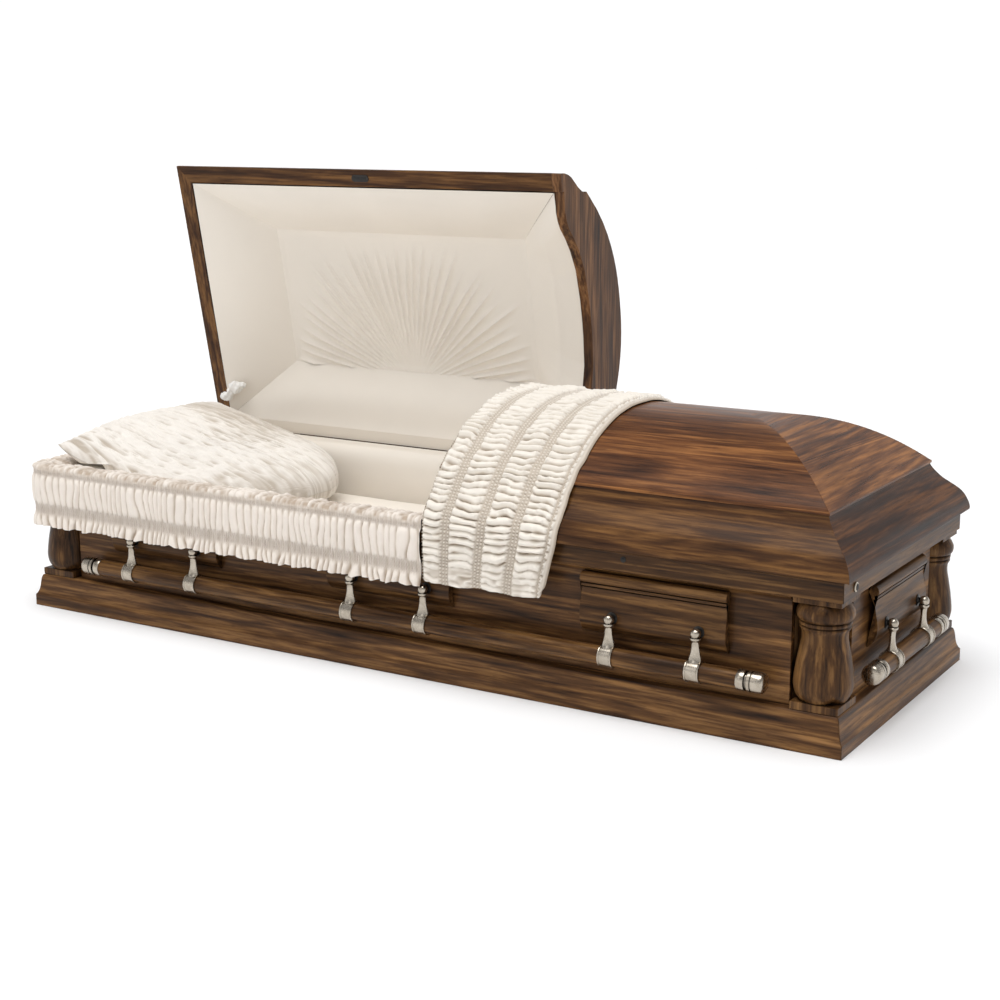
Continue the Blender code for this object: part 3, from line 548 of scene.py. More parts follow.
def lid_boards(name, profile, end_sign, cut, finishes):
    """Both long sides and the end of a lid section, each its own run of boards."""
    pieces = []
    inset, height = profile[:, 0], profile[:, 1]
    reach = end_sign * (HALF_L - inset)
    steps = np.linspace(0, 1, 30)[:, None]
    for sign in (-1, 1):
        x = cut + (reach[None] - cut) * steps
        y = np.broadcast_to(sign * (HALF_W - inset), x.shape)
        z = np.broadcast_to(height, x.shape)
        pieces.append(skin("side", np.stack([x, y, z], -1), finishes))
    steps = np.linspace(-1, 1, 40)[:, None]
    y = (HALF_W - inset)[None] * steps
    x = np.broadcast_to(reach, y.shape)
    z = np.broadcast_to(height, y.shape)
    end = skin("end", np.stack([x, y, z], -1), finishes)
    end.data.polygons.foreach_set("material_index", [1] * len(end.data.polygons))
    made = united([*pieces, end], name)
    cleaned(made, 0.00001)
    made.data.set_sharp_from_angle(angle=math.radians(26))
    return made


moulding_line = fair(OGEE, 0.004)
under = np.array([(0.040, 0.3494), (0.0, 0.3494), (-0.0025, 0.3494)])
moulding_line = np.vstack([under, moulding_line[1:]])
insets = 0.0695 + (HALF_W - 0.0695) * np.linspace(0, 1, 46) ** 0.9
crown_line = np.stack([insets, crown_top(insets)], -1)
lip = np.array([(0.0665, 0.4588), (0.0665, 0.4630), (0.0675, 0.4648)])
crown_line = np.vstack([lip, crown_line])
for body, end_sign, cut in (("head_lid", -1, CUT_X - 0.0256), ("foot_lid", 1, CUT_X + 0.0256)):
    raised = body == "head_lid"
    ogees = [ogee_long, ogee_raised if raised else ogee_cross]
    crowns = [crown_long_raised, crown_raised] if raised else [crown_long, crown_cross]
    moulding = lid_boards(f"{body}_moulded_boards", moulding_line, end_sign, cut, ogees)
    crown = lid_boards(f"{body}_crown_boards", crown_line, end_sign, cut, crowns)
    for piece, solid, slot in ((moulding, "moulding", "body_walnut"), (crown, "crown", "crown_walnut")):
        if raised:
            opened(piece)
        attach(piece, body)
        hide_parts(f"{body}_{solid}")
    print(body, "boards:", triangles(moulding) + triangles(crown), "triangles")

# %% [markdown]
# ## Corner urns
# Each corner holds a turned urn between two square plates: a cap, two cut grooves, a neck and a full belly.
# A lathe works from a side view, so the urn is a side view spun about its axis, with enough turns to roll.

# %% Urns
URN_LINE = [
    (0.0453, 0.0930), (0.0500, 0.1000), (0.0552, 0.1090), (0.0582, 0.1210), (0.0589, 0.1320),
    (0.0570, 0.1520), (0.0538, 0.1740), (0.0494, 0.1970), (0.0456, 0.2180), (0.0460, 0.2330),
    (0.0492, 0.2400),
]
URN_CAP = [
    (0.0498, 0.2410), (0.0502, 0.2440), (0.0455, 0.2452), (0.0455, 0.2462), (0.0504, 0.2476), (0.0512, 0.2510),
    (0.0512, 0.2540), (0.0462, 0.2552), (0.0462, 0.2562), (0.0520, 0.2576), (0.0552, 0.2620), (0.0568, 0.2690),
    (0.0562, 0.2760), (0.0520, 0.2850), (0.0450, 0.2945),
]


def block(name, low, high, finish, edge):
    shape = bmesh.new()
    bmesh.ops.create_cube(shape, size=1.0)
    low, high = Vector(low), Vector(high)
    for point in shape.verts:
        point.co = Vector(((low + high) / 2)[i] + point.co[i] * (high - low)[i] for i in range(3))
    bmesh.ops.bevel(shape, geom=shape.edges, offset=edge, segments=2, affect="EDGES", profile=0.6)
    mesh = bpy.data.meshes.new(name)
    shape.to_mesh(mesh)
    shape.free()
    mesh.materials.append(finish)
    made = bpy.data.objects.new(name, mesh)
    bpy.context.scene.collection.objects.link(made)
    return made


for corner, sx, sy in (("front_head", -1, -1), ("front_foot", 1, -1), ("back_head", -1, 1), ("back_foot", 1, 1)):
    line = np.vstack([fair(URN_LINE, 0.003), np.array(URN_CAP)])
    urn = spun("urn", line, body_upright, 72)
    outward = math.atan2(sy, sx)
    for point in urn.data.vertices:
        turn = math.atan2(point.co.y, point.co.x) - outward
        turn = (turn + math.pi) % math.tau - math.pi
        notch = 0.010 * math.exp(-((turn / 0.16) ** 2)) * (1 - rise(point.co.z, 0.093, 0.112))
        reach = math.hypot(point.co.x, point.co.y)
        point.co.x *= 1 - notch / reach
        point.co.y *= 1 - notch / reach
    foot = block("foot", (-0.0495, -0.0495, 0.0793), (0.0495, 0.0495, 0.095), body_upright, 0.0012)
    head = block("head", (-0.0495, -0.0495, 0.294), (0.0495, 0.0495, 0.3047), body_upright, 0.0008)
    turned = united([urn, foot, head], f"turned_urn_{corner}")
    turned.data.transform(Matrix.Translation((sx * (HALF_L - 0.0665), sy * (HALF_W - 0.0665), 0)))
    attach(turned, "root")
    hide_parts(f"urn_{corner}")
print("urns: 4, each", triangles(turned), "triangles")

# %% [markdown]
# ## Swing-bar handles
# A round walnut bar is gripped by nickel bands, and each band hangs by a necked arm from a ball on a plaque.
# The arm's neck is oval and flares into its band, so it is a stack of ovals joined by a skin.

# %% Handles
LUG_Z = 0.2035
BAR_DROP = 0.077
BAR_R = 0.0195
TURN = {"front": 0.0, "back": math.pi, "head": -math.pi / 2, "foot": math.pi / 2}
LINE = {"front": (0, -HALF_W), "back": (0, HALF_W), "head": (-HALF_L, 0), "foot": (HALF_L, 0)}
NECK = [
    (-0.0075, 0.0105, 0.0100), (-0.0090, 0.0116, 0.0108), (-0.0120, 0.0112, 0.0104), (-0.0145, 0.0088, 0.0080),
    (-0.0200, 0.0088, 0.0062), (-0.0290, 0.0092, 0.0056), (-0.0380, 0.0106, 0.0060), (-0.0460, 0.0128, 0.0072),
    (-0.0530, 0.0146, 0.0096), (-0.0570, 0.0152, 0.0120), (-0.0610, 0.0150, 0.0130),
]
BAND = [
    (0.0190, -0.0158), (0.0228, -0.0158), (0.0236, -0.0148), (0.0234, -0.0128), (0.0220, -0.0118),
    (0.0222, 0.0), (0.0220, 0.0118), (0.0234, 0.0128), (0.0236, 0.0148), (0.0228, 0.0158), (0.0190, 0.0158),
]


def tip_line(half):
    start = half - 0.058
    line = [
        (0.0190, 0.0), (0.0208, 0.0), (0.0214, 0.0010), (0.0212, 0.0150), (0.0206, 0.0158), (0.0168, 0.0162),
        (0.0168, 0.0216), (0.0206, 0.0220), (0.0214, 0.0228), (0.0214, 0.0290), (0.0196, 0.0294), (0.0196, 0.0314),
        (0.0214, 0.0318), (0.0212, 0.0480), (0.0200, 0.0530), (0.0160, 0.0562), (0.0090, 0.0577), (0.0001, 0.0580),
    ]
    return [(radius, start + along) for radius, along in line]


def ball(radius, spot, finish):
    turn = np.linspace(0, math.pi, 17)
    line = np.stack([np.maximum(radius * np.sin(turn), 0.00005), -radius * np.cos(turn)], -1)
    made = spun("ball", line, finish, 28)
    made.data.transform(Matrix.Translation(spot))
    return made


def on_side(piece, side, slide):
    place = Matrix.Translation((*LINE[side], LUG_Z)) @ Matrix.Rotation(TURN[side], 4, "Z")
    piece.data.transform(Matrix.Translation((slide, 0, 0)) @ place @ Matrix.Translation((0, 0.002, 0)))
    return piece


def swing_bar(side, arms, half, slide, wood):
    inside = half - 0.058
    bar = spun("bar", [(BAR_R, x) for x in np.linspace(-inside, inside, 3)], wood, 48, upright=False)
    bar.data.transform(Matrix.Translation((0, 0, -BAR_DROP)))
    parts = []
    for sign in (-1, 1):
        tip = spun("tip", [(r, sign * x) for r, x in tip_line(half)], nickel, 48, upright=False)
        tip.data.transform(Matrix.Translation((0, 0, -BAR_DROP)))
        parts.append(tip)
    round_turn = np.linspace(0, math.tau, 32, endpoint=False)
    lugs = []
    for spot in arms:
        band = spun("band", [(r, spot + x) for r, x in BAND], nickel, 48, upright=False)
        band.data.transform(Matrix.Translation((0, 0, -BAR_DROP)))
        neck = fair(NECK, 0.0015)
        ovals = np.stack(
            [
                spot + neck[:, 1][:, None] * np.cos(round_turn),
                neck[:, 2][:, None] * np.sin(round_turn),
                np.broadcast_to(neck[:, 0][:, None], (len(neck), 32)),
            ],
            -1,
        )
        parts += [band, skin("neck", ovals, nickel, wrap_columns=True)]
        lugs.append(ball(0.0111, (spot, 0, 0), nickel))
        # Painted shade: a flat black steel disc behind each ball stands for the shaded recess in the plaque.
        recess_shade_disc = spun("recess_shade_disc", [(0.0001, 0.0), (0.0125, 0.0), (0.0125, 0.0012), (0.0070, 0.0022)], black_steel, 28)
        recess_shade_disc.data.transform(Matrix.Translation((spot, 0.0142, 0)) @ Matrix.Rotation(math.pi / 2, 4, "X"))
        lugs.append(recess_shade_disc)
    fittings = united(parts, f"handle_{side}_fittings")
    lug_set = united(lugs, f"handle_{side}_lugs")
    for piece in (bar, fittings, lug_set):
        on_side(piece, side, slide)
        cleaned(piece)
        piece.data.set_sharp_from_angle(angle=math.radians(40))
    bar.name = f"handle_{side}_bar"
    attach(bar, f"handle_{side}")
    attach(fittings, f"handle_{side}")
    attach(lug_set, "root")
    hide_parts(f"handle_{side}")
    return triangles(fittings)


long_arms = [pitch * 0.648 + sign * 0.097 for pitch in (-1, 0, 1) for sign in (-1, 1)]
for side in LONG_SIDES:
    count = swing_bar(side, long_arms, 0.898, 0.009, bar_long)
for side in ("head", "foot"):
    swing_bar(side, [-0.097, 0.097], 0.222, 0.0, bar_cross)
print("long handle fittings:", count, "triangles")

# %% [markdown]
# ## The padding inside the lids
# Four padded borders are mitred like a picture frame round a flat field. They are full in the middle
# and pulled tight along each seam. The head lid's field is pleated like the rays of a rising sun.
# The rays are ridges whose height fades with distance, so each one is a small hill over an angle.

# %% Lid padding
FIELD_Z = 0.446
FIELD_HALF = 0.185
ARCH = [
    (0.0435, 0.3505), (0.090, 0.3520), (0.112, 0.356), (0.133, 0.364), (0.163, 0.384),
    (0.1975, 0.402), (0.2495, 0.420), (0.3245, 0.4285), (0.3715, 0.430),
]


def border(corners_out, corners_in, puff, columns, rows, edge_height=None, fold=0.0, smooth=False):
    """One padded border between two outer and two inner corners, seen from below."""
    u = np.linspace(0, 1, columns)[:, None]
    v = np.linspace(0, 1, rows)[None]
    outer = np.array(corners_out[0]) * (1 - u[..., None]) + np.array(corners_out[1]) * u[..., None]
    inner = np.array(corners_in[0]) * (1 - u[..., None]) + np.array(corners_in[1]) * u[..., None]
    outer = np.broadcast_to(outer, (columns, rows, 3)).copy()
    if edge_height is not None:
        outer[..., 2] = edge_height(outer[..., 1])
    points = outer * (1 - v[..., None]) + inner * v[..., None]
    length = np.linalg.norm(np.array(corners_in[0]) - np.array(corners_in[1]))
    away = np.minimum(u, 1 - u) * length
    seam = 1 - 0.42 * np.exp(-away / 0.010)
    full = np.sin(math.pi * v ** (1.3 if smooth else 1.0)) ** (1.2 if smooth else 0.95)
    points[..., 2] -= (0.006 + (puff - 0.006) * rise(away, 0, 0.13)) * full * seam
    points[..., 2] -= fold * np.exp(-(((v - 0.45) / 0.07) ** 2)) * rise(away, 0.02, 0.10)
    points[..., 2] += 0.0010 * soft_noise(points[..., 0] * 9, points[..., 1] * 14, 5) * full * seam
    return points


def arch_height(y):
    inset, height = np.array(ARCH).T
    return np.maximum(np.interp(HALF_W - np.abs(y), inset, height) + 0.002, 0.3505)


def sunburst(x, y, middle, back, end):
    """Height of the pleats above the field, rays that fan out from behind its back edge."""
    dx, dy = x - middle, back + 0.045 - y
    away = np.hypot(dx, dy)
    angle = np.arctan2(dy, dx)
    rng = np.random.default_rng(11)
    rays = 38
    aims = math.pi * (np.arange(rays) + 0.5) / rays + rng.normal(0, 0.005, rays)
    height = np.zeros_like(x)
    for aim in aims:
        start, reach = rng.uniform(0.01, 0.03), rng.uniform(0.40, 0.48)
        bent = angle - aim + 0.008 * rng.normal() * (away / 0.3) ** 2
        ridge = np.exp(-np.abs(bent / np.maximum(0.015, 0.0030 / np.maximum(away, 0.02))) ** 1.3)
        height += rng.uniform(0.75, 1.10) * ridge * rise(away, 0, start) * (1 - rise(away, reach * 0.70, reach))
    to_side = rise(end - np.abs(dx), 0.0, 0.06)
    to_front = rise(y + back, 0.0, 0.07)
    return height * np.minimum(0.0105, 0.036 * away + 0.0012) * to_side * to_front


def lid_padding(name, body, end_sign, header_x, field_far, field_near, pleated):
    far = end_sign * (HALF_L - 0.0435)
    side = HALF_W - 0.0435
    low = 0.3505
    low_at = {-1: low, 1: LID_BOTTOM - 0.0015}
    outer = {(f, s): (far if f else header_x, s * side, low_at[s]) for f in (0, 1) for s in (-1, 1)}
    inner = {(f, s): (field_far if f else field_near, s * FIELD_HALF, FIELD_Z) for f in (0, 1) for s in (-1, 1)}
    strips = []
    for sign in (-1, 1):
        pair = ((1, sign), (0, sign))
        ends = ([outer[k] for k in pair], [inner[k] for k in pair])
        strips.append(border(*ends, 0.024, 120, 26, smooth=sign > 0))
    pair = ((1, -1), (1, 1))
    strips.append(border([outer[k] for k in pair], [inner[k] for k in pair], 0.015, 80, 22))
    pair = ((0, -1), (0, 1))
    strips.append(border([outer[k] for k in pair], [inner[k] for k in pair], 0.007, 100, 24, arch_height, 0.0035))
    flap_x, flap_y = np.meshgrid(np.linspace(far, header_x, 60), np.linspace(HALF_W - 0.011, side, 8), indexing="ij")
    flap_z = LID_BOTTOM - 0.0006 - 0.0009 * rise(HALF_W - flap_y, 0.011, 0.030)
    strips.append(np.stack([flap_x, flap_y, flap_z], -1))
    pieces = [skin("strip", points, lining_crepe) for points in strips]
    x, y = np.meshgrid(
        np.linspace(field_far - end_sign * -0.003, field_near + end_sign * -0.003, 360 if pleated else 120),
        np.linspace(-FIELD_HALF - 0.003, FIELD_HALF + 0.003, 190 if pleated else 80),
        indexing="ij",
    )
    to_edge = np.minimum(x - x.min(), x.max() - x)
    to_edge = np.minimum(to_edge, FIELD_HALF + 0.003 - np.abs(y))
    z = FIELD_Z - 0.0005 + 0.0026 * rise(to_edge, 0.002, 0.020) + 0.0004 * soft_noise(x * 12, y * 12, 3)
    if pleated:
        z = z - sunburst(x, y, (field_far + field_near) / 2, FIELD_HALF, abs(field_far - field_near) / 2)
    pieces.append(skin("field", np.stack([x, y, z], -1), lining_crepe))
    made = united(pieces, name)
    if body == "head_lid":
        opened(made)
    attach(made, body)
    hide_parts(f"{body}_lining")
    print(name, triangles(made), "triangles")


lid_padding("head_lid_padding", "head_lid", -1, CUT_X - 0.0256, -0.8375, -0.065, True)
lid_padding("foot_lid_padding", "foot_lid", 1, CUT_X + 0.0256, 0.8375, 0.285, False)

# %% [markdown]
# ## The padded wall inside the body
# A soft roll runs round the top of the well and falls to the mattress. Every slice through it has
# the same outline, so the outline is carried round a ring that turns from a sharp rectangle outside
# to a rounder one inside.

# %% Wall padding
WALL = [
    (0.0612, 0.3340), (0.0625, 0.3430), (0.0680, 0.3480), (0.0770, 0.3485), (0.0880, 0.3440),
    (0.0980, 0.3330), (0.1050, 0.3150), (0.1085, 0.2900), (0.1100, 0.2620), (0.1100, 0.1900),
]


def ring_round(half_x, half_y, radius, count):
    """Points round a rectangle with rounded corners, spread evenly by side."""
    out = []
    for corner, (sx, sy) in enumerate(((1, -1), (1, 1), (-1, 1), (-1, -1))):
        centre = np.array([sx * (half_x - radius), sy * (half_y - radius)])
        for step in range(9):
            turn = math.radians(-90 + corner * 90 + step * 90 / 8)
            out.append(centre + radius * np.array([math.cos(turn), math.sin(turn)]))
        ahead = ((1, 1), (-1, 1), (-1, -1), (1, -1))[corner]
        turn = math.radians(corner * 90)
        goal = np.array([ahead[0] * (half_x - radius), ahead[1] * (half_y - radius)])
        goal = goal + radius * np.array([math.cos(turn), math.sin(turn)])
        for share in np.linspace(0, 1, count, endpoint=False)[1:]:
            out.append(out[corner * (8 + count) + 8] * (1 - share) + goal * share)
    return np.array(out)


wall_line = fair(WALL, 0.004)
rings = []
for inset, height in wall_line:
    share = (inset - 0.0612) / 0.0488
    half_x = HALF_L - 0.0612 - 0.120 * share
    ring = ring_round(half_x, HALF_W - inset, 0.006 + 0.030 * share, 60)
    rings.append(np.column_stack([ring, np.full(len(ring), height)]))
wall_points = np.array(rings)
lumps = soft_noise(wall_points[..., 0] * 6, wall_points[..., 1] * 6 + wall_points[..., 2] * 9, 8)
wall_points[3:, :, 2] += 0.0012 * lumps[3:]
ring_wall = skin("ring", wall_points, lining_crepe, wrap_columns=True)
over_along, over_across = np.linspace(-HALF_L + 0.038, CUT_X, 80), np.linspace(0.0125, 0.074, 16)
over_x, over_inset = np.meshgrid(over_along, over_across, indexing="ij")
over_z = RAIL_TOP + 0.0005 + 0.0022 * rise(over_inset, 0.050, 0.074)
rail_cloth = skin("over_rail", np.stack([over_x, HALF_W - over_inset, over_z], -1), lining_crepe)
wall = united([ring_wall, rail_cloth], "body_wall_padding")
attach(wall, "root")
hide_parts("body_lining")
print("wall padding:", triangles(wall), "triangles")

# %% [markdown]
# ## Mattress and pillow
# A stuffed case is two cloths sewn at their edge and blown up between. Both faces rise from the seam
# steeply and then go flat, which a power of the distance to the edge gives.
# The pillow's cloth is crinkled, with short puckers that all run nearly one way.


# %% Stuffed pieces
def stuffed(name, place, columns, rows, fullness, puckers, finish):
    """A closed case: place maps two coordinates from -1 to 1 and a side to a point."""
    u, v = np.linspace(-1, 1, columns)[:, None], np.linspace(-1, 1, rows)[None]
    u, v = (0.65 * t + 0.35 * np.sin(t * math.pi / 2) for t in (u, v))
    thick = ((1 - np.abs(u) ** fullness) * (1 - np.abs(v) ** fullness)) ** (1 / 2.2)
    faces = []
    for side in (1, -1):
        points = place(u, v, thick, side)
        crinkle = puckers(points[..., 0], points[..., 1])
        points[..., 2] += crinkle * thick ** 0.5 * (side > 0)
        faces.append(folds_of(skin("face", points, finish), crinkle))
    made = united(faces, name)
    cleaned(made, 0.0002)
    return made


def mattress_place(u, v, thick, side):
    x, y = np.broadcast_arrays(u * 0.881, v * 0.258)
    middle, half = 0.1875, 0.0475
    return np.stack([x, y, middle + side * half * thick], -1)


def mattress_puckers(x, y):
    return 0.0016 * soft_noise(x * 8, y * 12, 21)


def pillow_place(u, v, thick, side):
    u, v = np.broadcast_arrays(u, v)
    taper = np.sqrt(np.maximum(0.03, 1 - np.clip((u + 0.15) / 1.15, 0, 1) ** 2.2))
    ear = 1 + 0.14 * np.abs(v) ** 8 * rise(-u, 0.45, 1.0)
    waist = 1 - 0.03 * (1 - v**2) * rise(-u, 0.6, 1.0)
    x = -0.737 + 0.293 * u * waist
    y = 0.264 * v * taper * ear * (1 - 0.04 * (1 - u**2))
    droop = 1.10 + 2.50 * rise(-v, 0.3, 1.0)
    seam = 0.287 + (0.120 + 0.006 * v) * ((1 - u) / 2) ** droop
    top = seam + 0.062 * thick
    bottom = seam - 0.055 * thick
    over_wall = np.maximum(rise(-x, 0.87, 0.93), rise(np.abs(y), 0.250, 0.259))
    bottom = np.maximum(bottom, 0.239 + 0.117 * over_wall)
    return np.stack([x, y, np.where(side > 0, np.maximum(top, bottom + 0.0005), bottom)], -1)


def pillow_puckers(x, y):
    drift = y + 0.10 * (x + 0.7) * (y + 0.1) + 0.02 * soft_noise(x * 6, y * 6, 30)
    long_folds = 1 - 2 * np.abs(soft_noise(drift * 118, x * 18, 31))
    short_folds = 1 - 2 * np.abs(soft_noise(drift * 200, x * 36, 32))
    strong = 0.50 + 0.50 * (1 - rise(y, -0.08, 0.16)) * (1 - rise(x, -0.66, -0.50))
    return (0.0058 * long_folds + 0.0030 * short_folds) * strong + soft_noise(x * 7, y * 7, 33) * 0.0035


mattress = stuffed("mattress_pad", mattress_place, 100, 50, 14.0, mattress_puckers, lining_crepe)
pillow = stuffed("pillow_case", pillow_place, 122, 380, 4.6, pillow_puckers, pillow_crepe)
for piece, solid, slot, fill in ((mattress, "mattress", "ivory_lining", 0.7), (pillow, "pillow", "shirred_cloth", 0.6)):
    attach(piece, "root")
    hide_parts(solid)
    print(piece.name, triangles(piece), "triangles")
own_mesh(pillow)

# %% [markdown]
# ## The skirt
# A strip of cloth lies over the front and head rails and hangs outside them. It is gathered on threads
# under its top edge and again above its hem. Between the threads the cloth has nowhere to go but in and out,
# so it stands in upright pleats, and below the lower thread it frills.

# %% Skirt
SKIRT_LINE = [
    (-0.0655, 0.3200), (-0.0650, 0.3400), (-0.0600, 0.3540), (-0.0450, 0.3605), (-0.0220, 0.3630),
    (-0.0030, 0.3630), (0.0055, 0.3570), (0.0052, 0.3440), (0.0072, 0.3200), (0.0074, 0.2950),
    (0.0060, 0.2720), (0.0052, 0.2560), (0.0062, 0.2400), (0.0080, 0.2250), (0.0090, 0.2120),
]


def skirt_path(step):
    """Where the skirt runs and which way is outward: along the front, round the corner, up the head end."""
    radius = 0.045
    front = np.arange(CUT_X - 0.0015, -HALF_L + radius, -step)
    spots = [((x, -HALF_W), (0, -1)) for x in front]
    for turn in np.linspace(0, math.pi / 2, 32)[1:-1]:
        out = (-math.sin(turn), -math.cos(turn))
        spots.append(((-HALF_L + radius + radius * out[0], -HALF_W + radius + radius * out[1]), out))
    for y in np.arange(-HALF_W + radius, 0.300, step):
        spots.append(((-HALF_L, y), (-1, 0)))
    return np.array([s[0] for s in spots]), np.array([s[1] for s in spots])


ground, outward = skirt_path(0.0022)
run = np.concatenate([[0], np.cumsum(np.linalg.norm(np.diff(ground, axis=0), axis=1))])[:, None]
line = fair(SKIRT_LINE, 0.0029)
tangent = np.gradient(line, axis=0)
tangent /= np.linalg.norm(tangent, axis=1)[:, None]
face_out, face_up = -tangent[:, 1], tangent[:, 0]
height = line[:, 1][None]
outside = (line[:, 0] > -0.006)[None]
pleat_zone = rise(height, 0.262, 0.276) * (1 - rise(height, 0.330, 0.343)) * outside
frill_zone = (1 - rise(height, 0.222, 0.247)) * outside
top_zone = rise(height, 0.3505, 0.357)
wander = soft_noise(run * 14, 0 * run, 41)
lean = 0.8 * soft_noise(run * 30, height * 22, 42)
pleats = np.abs(np.sin(run * math.pi / 0.0190 + 1.9 * wander + lean)) ** 0.58 - 0.55
pleats = pleats * (0.90 + 0.45 * soft_noise(run * 40, height * 9, 43))
fine = 0.5 * np.sin(run * math.tau / 0.0066) * (0.4 + 0.6 * np.sin(height * math.tau / 0.0088))
sway = 2.6 * wander + 1.1 * soft_noise(run * 45, height * 34, 44)
frill = np.abs(np.sin(run * math.pi / 0.0180 + sway)) ** 0.7 - 0.5
crumple = soft_noise(run * 190, line[:, 0][None] * 160 + height * 90, 45)
crumple = crumple + soft_noise(run * 90, height * 50, 46)
band_zone = outside * (1 - pleat_zone) * (1 - frill_zone) * (1 - top_zone)
puff = rise(height, 0.255, 0.285) * (1 - rise(height, 0.322, 0.345)) * outside
push = 0.0095 * pleats * pleat_zone + 0.0120 * frill * frill_zone + 0.0026 * crumple * top_zone
push = push + 0.0030 * fine * band_zone + 0.0020 * puff + 0.0009 * soft_noise(run * 230, height * 60, 47)
reach = line[:, 0][None] + push * face_out[None]
lift = height + push * face_up[None] + 0.0035 * soft_noise(run * 55, 0 * run, 48) * (1 - rise(height, 0.212, 0.240))
skirt_points = np.empty((*reach.shape, 3))
skirt_points[..., 0] = ground[:, 0][:, None] + outward[:, 0][:, None] * reach
skirt_points[..., 1] = ground[:, 1][:, None] + outward[:, 1][:, None] * reach
skirt_points[..., 2] = lift
skirt = folds_of(skin("gathered_skirt", skirt_points, skirt_crepe), push)
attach(skirt, "root")
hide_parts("skirt")
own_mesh(skirt)
print("skirt:", round(float(run[-1, 0]), 2), "m long,", triangles(skirt), "triangles")

# %% [markdown]
# ## The throw
# A runner of shirred cloth is laid over the shut lid and hangs down its front. Threads run down its length
# in four rows. On a thread the cloth is pinched in tiny ticks, and between two threads it swells
# into short rolls that lie across. Its foot-side edge has a plain narrow hem with a rounded corner.

# %% Throw
front_fall = [
    (-0.3810, 0.2270), (-0.3818, 0.2700), (-0.3818, 0.3200), (-0.3810, 0.3500), (-0.3775, 0.3680),
    (-0.3690, 0.3860), (-0.3560, 0.4040), (-0.3380, 0.4260), (-0.3190, 0.4500), (-0.3020, 0.4710),
]
over_y = np.linspace(-0.285, 0.300, 40)
over = np.stack([over_y, crown_top(HALF_W - np.abs(over_y)) + 0.0062], -1)
throw_line = fair(np.vstack([np.array(front_fall), over]), 0.0021)
gaps = np.linalg.norm(np.diff(throw_line, axis=0), axis=1)
fall = np.concatenate([[0], np.cumsum(gaps)])[:, None]
tangent = np.gradient(throw_line, axis=0)
tangent /= np.linalg.norm(tangent, axis=1)[:, None]
width = 0.330
columns = 150
u = np.linspace(0, 1, columns)[None]
GATHERS = ((0.0, 0.018), (0.185, 0.034), (0.455, 0.034), (0.705, 0.034), (0.945, 0.012))
gather = np.max([1 - rise(np.abs(u - middle), half * 0.75, half * 1.55) for middle, half in GATHERS], axis=0)
band = np.searchsorted([middle for middle, half in GATHERS], u[0])[None]
hem = rise(u, 0.964, 0.972)
bend = 1.2 * soft_noise(u * 13 + band * 3.7, fall * 17, 51) + 1.7 * soft_noise(fall * 21, band * 7.3, 52)
folds = np.abs(np.sin(fall * math.pi / 0.0165 + band * 1.3 + bend)) ** 0.55 - 0.50
folds = folds * (0.85 + 0.55 * soft_noise(fall * 42 + band * 9, u * 6, 53))
creases = 1 - 2 * np.abs(soft_noise(fall * 95, u * 15 + band * 5, 57))
ticks = np.abs(np.sin(fall * math.pi / 0.0074 + 0.7 * soft_noise(fall * 50, band * 3.3, 54))) - 0.5
rows = 0.35 + 0.65 * np.cos(u * width * math.tau / 0.0085)
quiet = 0.35 + 0.65 * rise(fall, 0.030, 0.075)
push = (0.0145 * folds * quiet + 0.0028 * creases) * (1 - gather) * (1 - hem)
push = push + (0.0080 * ticks * rows - 0.0016) * gather * (1 - hem)
push = push + 0.0018 - 0.0045 * rise(u, 0.985, 1.0) - 0.0040 * (1 - rise(u, 0.0, 0.012))
corner = np.clip((u - 0.93) / 0.07, 0, 1) ** 2.2 * np.exp(-((fall / 0.020) ** 2))
throw_points = np.empty((len(throw_line), columns, 3))
inward = 0.028 * (1 - rise(fall, 0.0, 0.150))
x = CUT_X + 0.0028 + (width - inward) * u - 0.008 * corner + 0.0015 * soft_noise(fall * 34, 0 * u, 55)
throw_points[..., 0] = x
throw_points[..., 1] = throw_line[:, 0][:, None] - tangent[:, 1][:, None] * push
throw_points[..., 2] = throw_line[:, 1][:, None] + tangent[:, 0][:, None] * push + 0.014 * corner
throw_points[..., 2] += 0.0030 * soft_noise(u * 16, 0 * fall, 56) * (1 - rise(fall, 0.0, 0.050))
throw = folds_of(skin("shirred_throw", throw_points, throw_crepe), push + 0.003 * ticks * rows * gather)
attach(throw, "foot_lid")
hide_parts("throw")
print("throw:", round(float(fall[-1, 0]), 2), "m long,", triangles(throw), "triangles")

# %% [markdown]
# ## Small fittings
# The keyhole ring has a dark well, the rail plug is an open nickel cup, the latch plate has two slots,
# and the strut that holds the lid up ends in a white cloth tied in two knots. The well, the inside of the cup and the
# slots are thin dark pieces of painted shadow.

# %% Fittings
# Painted shadow: one near-black finish for the flat wells and slots that stand for holes.
shadow, shadow_tree, shadow_shader = new_finish("painted_shadow_well")
speck = node(shadow_tree, "TexNoise", {"Scale": 300.0}).outputs["Fac"]
well_tone = ramp(shadow_tree, speck, [(0.3, (0.004, 0.004, 0.004)), (0.7, (0.012, 0.011, 0.010))])
shadow_tree.links.new(well_tone, shadow_shader.inputs["Base Color"])
shadow_shader.inputs["Roughness"].default_value = 0.7

keyhole = spun("keyhole_well", [(0.0001, 0.0024), (0.0036, 0.0024), (0.0040, 0.0018)], shadow, 24)
KEYHOLE = (0.586, -HALF_W + 0.0122, 0.331)
keyhole.data.transform(Matrix.Translation(KEYHOLE) @ Matrix.Rotation(math.pi / 2, 4, "X"))
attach(keyhole, "root")

plug = spun("plug_well", [(0.0001, 0.0041), (0.0064, 0.0041), (0.0072, 0.0036)], shadow, 24)
PLUG = (HALF_L - 0.0122, -HALF_W + 0.0745, 0.325)
plug.data.transform(Matrix.Translation(PLUG) @ Matrix.Rotation(math.pi / 2, 4, "Y"))
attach(plug, "root")

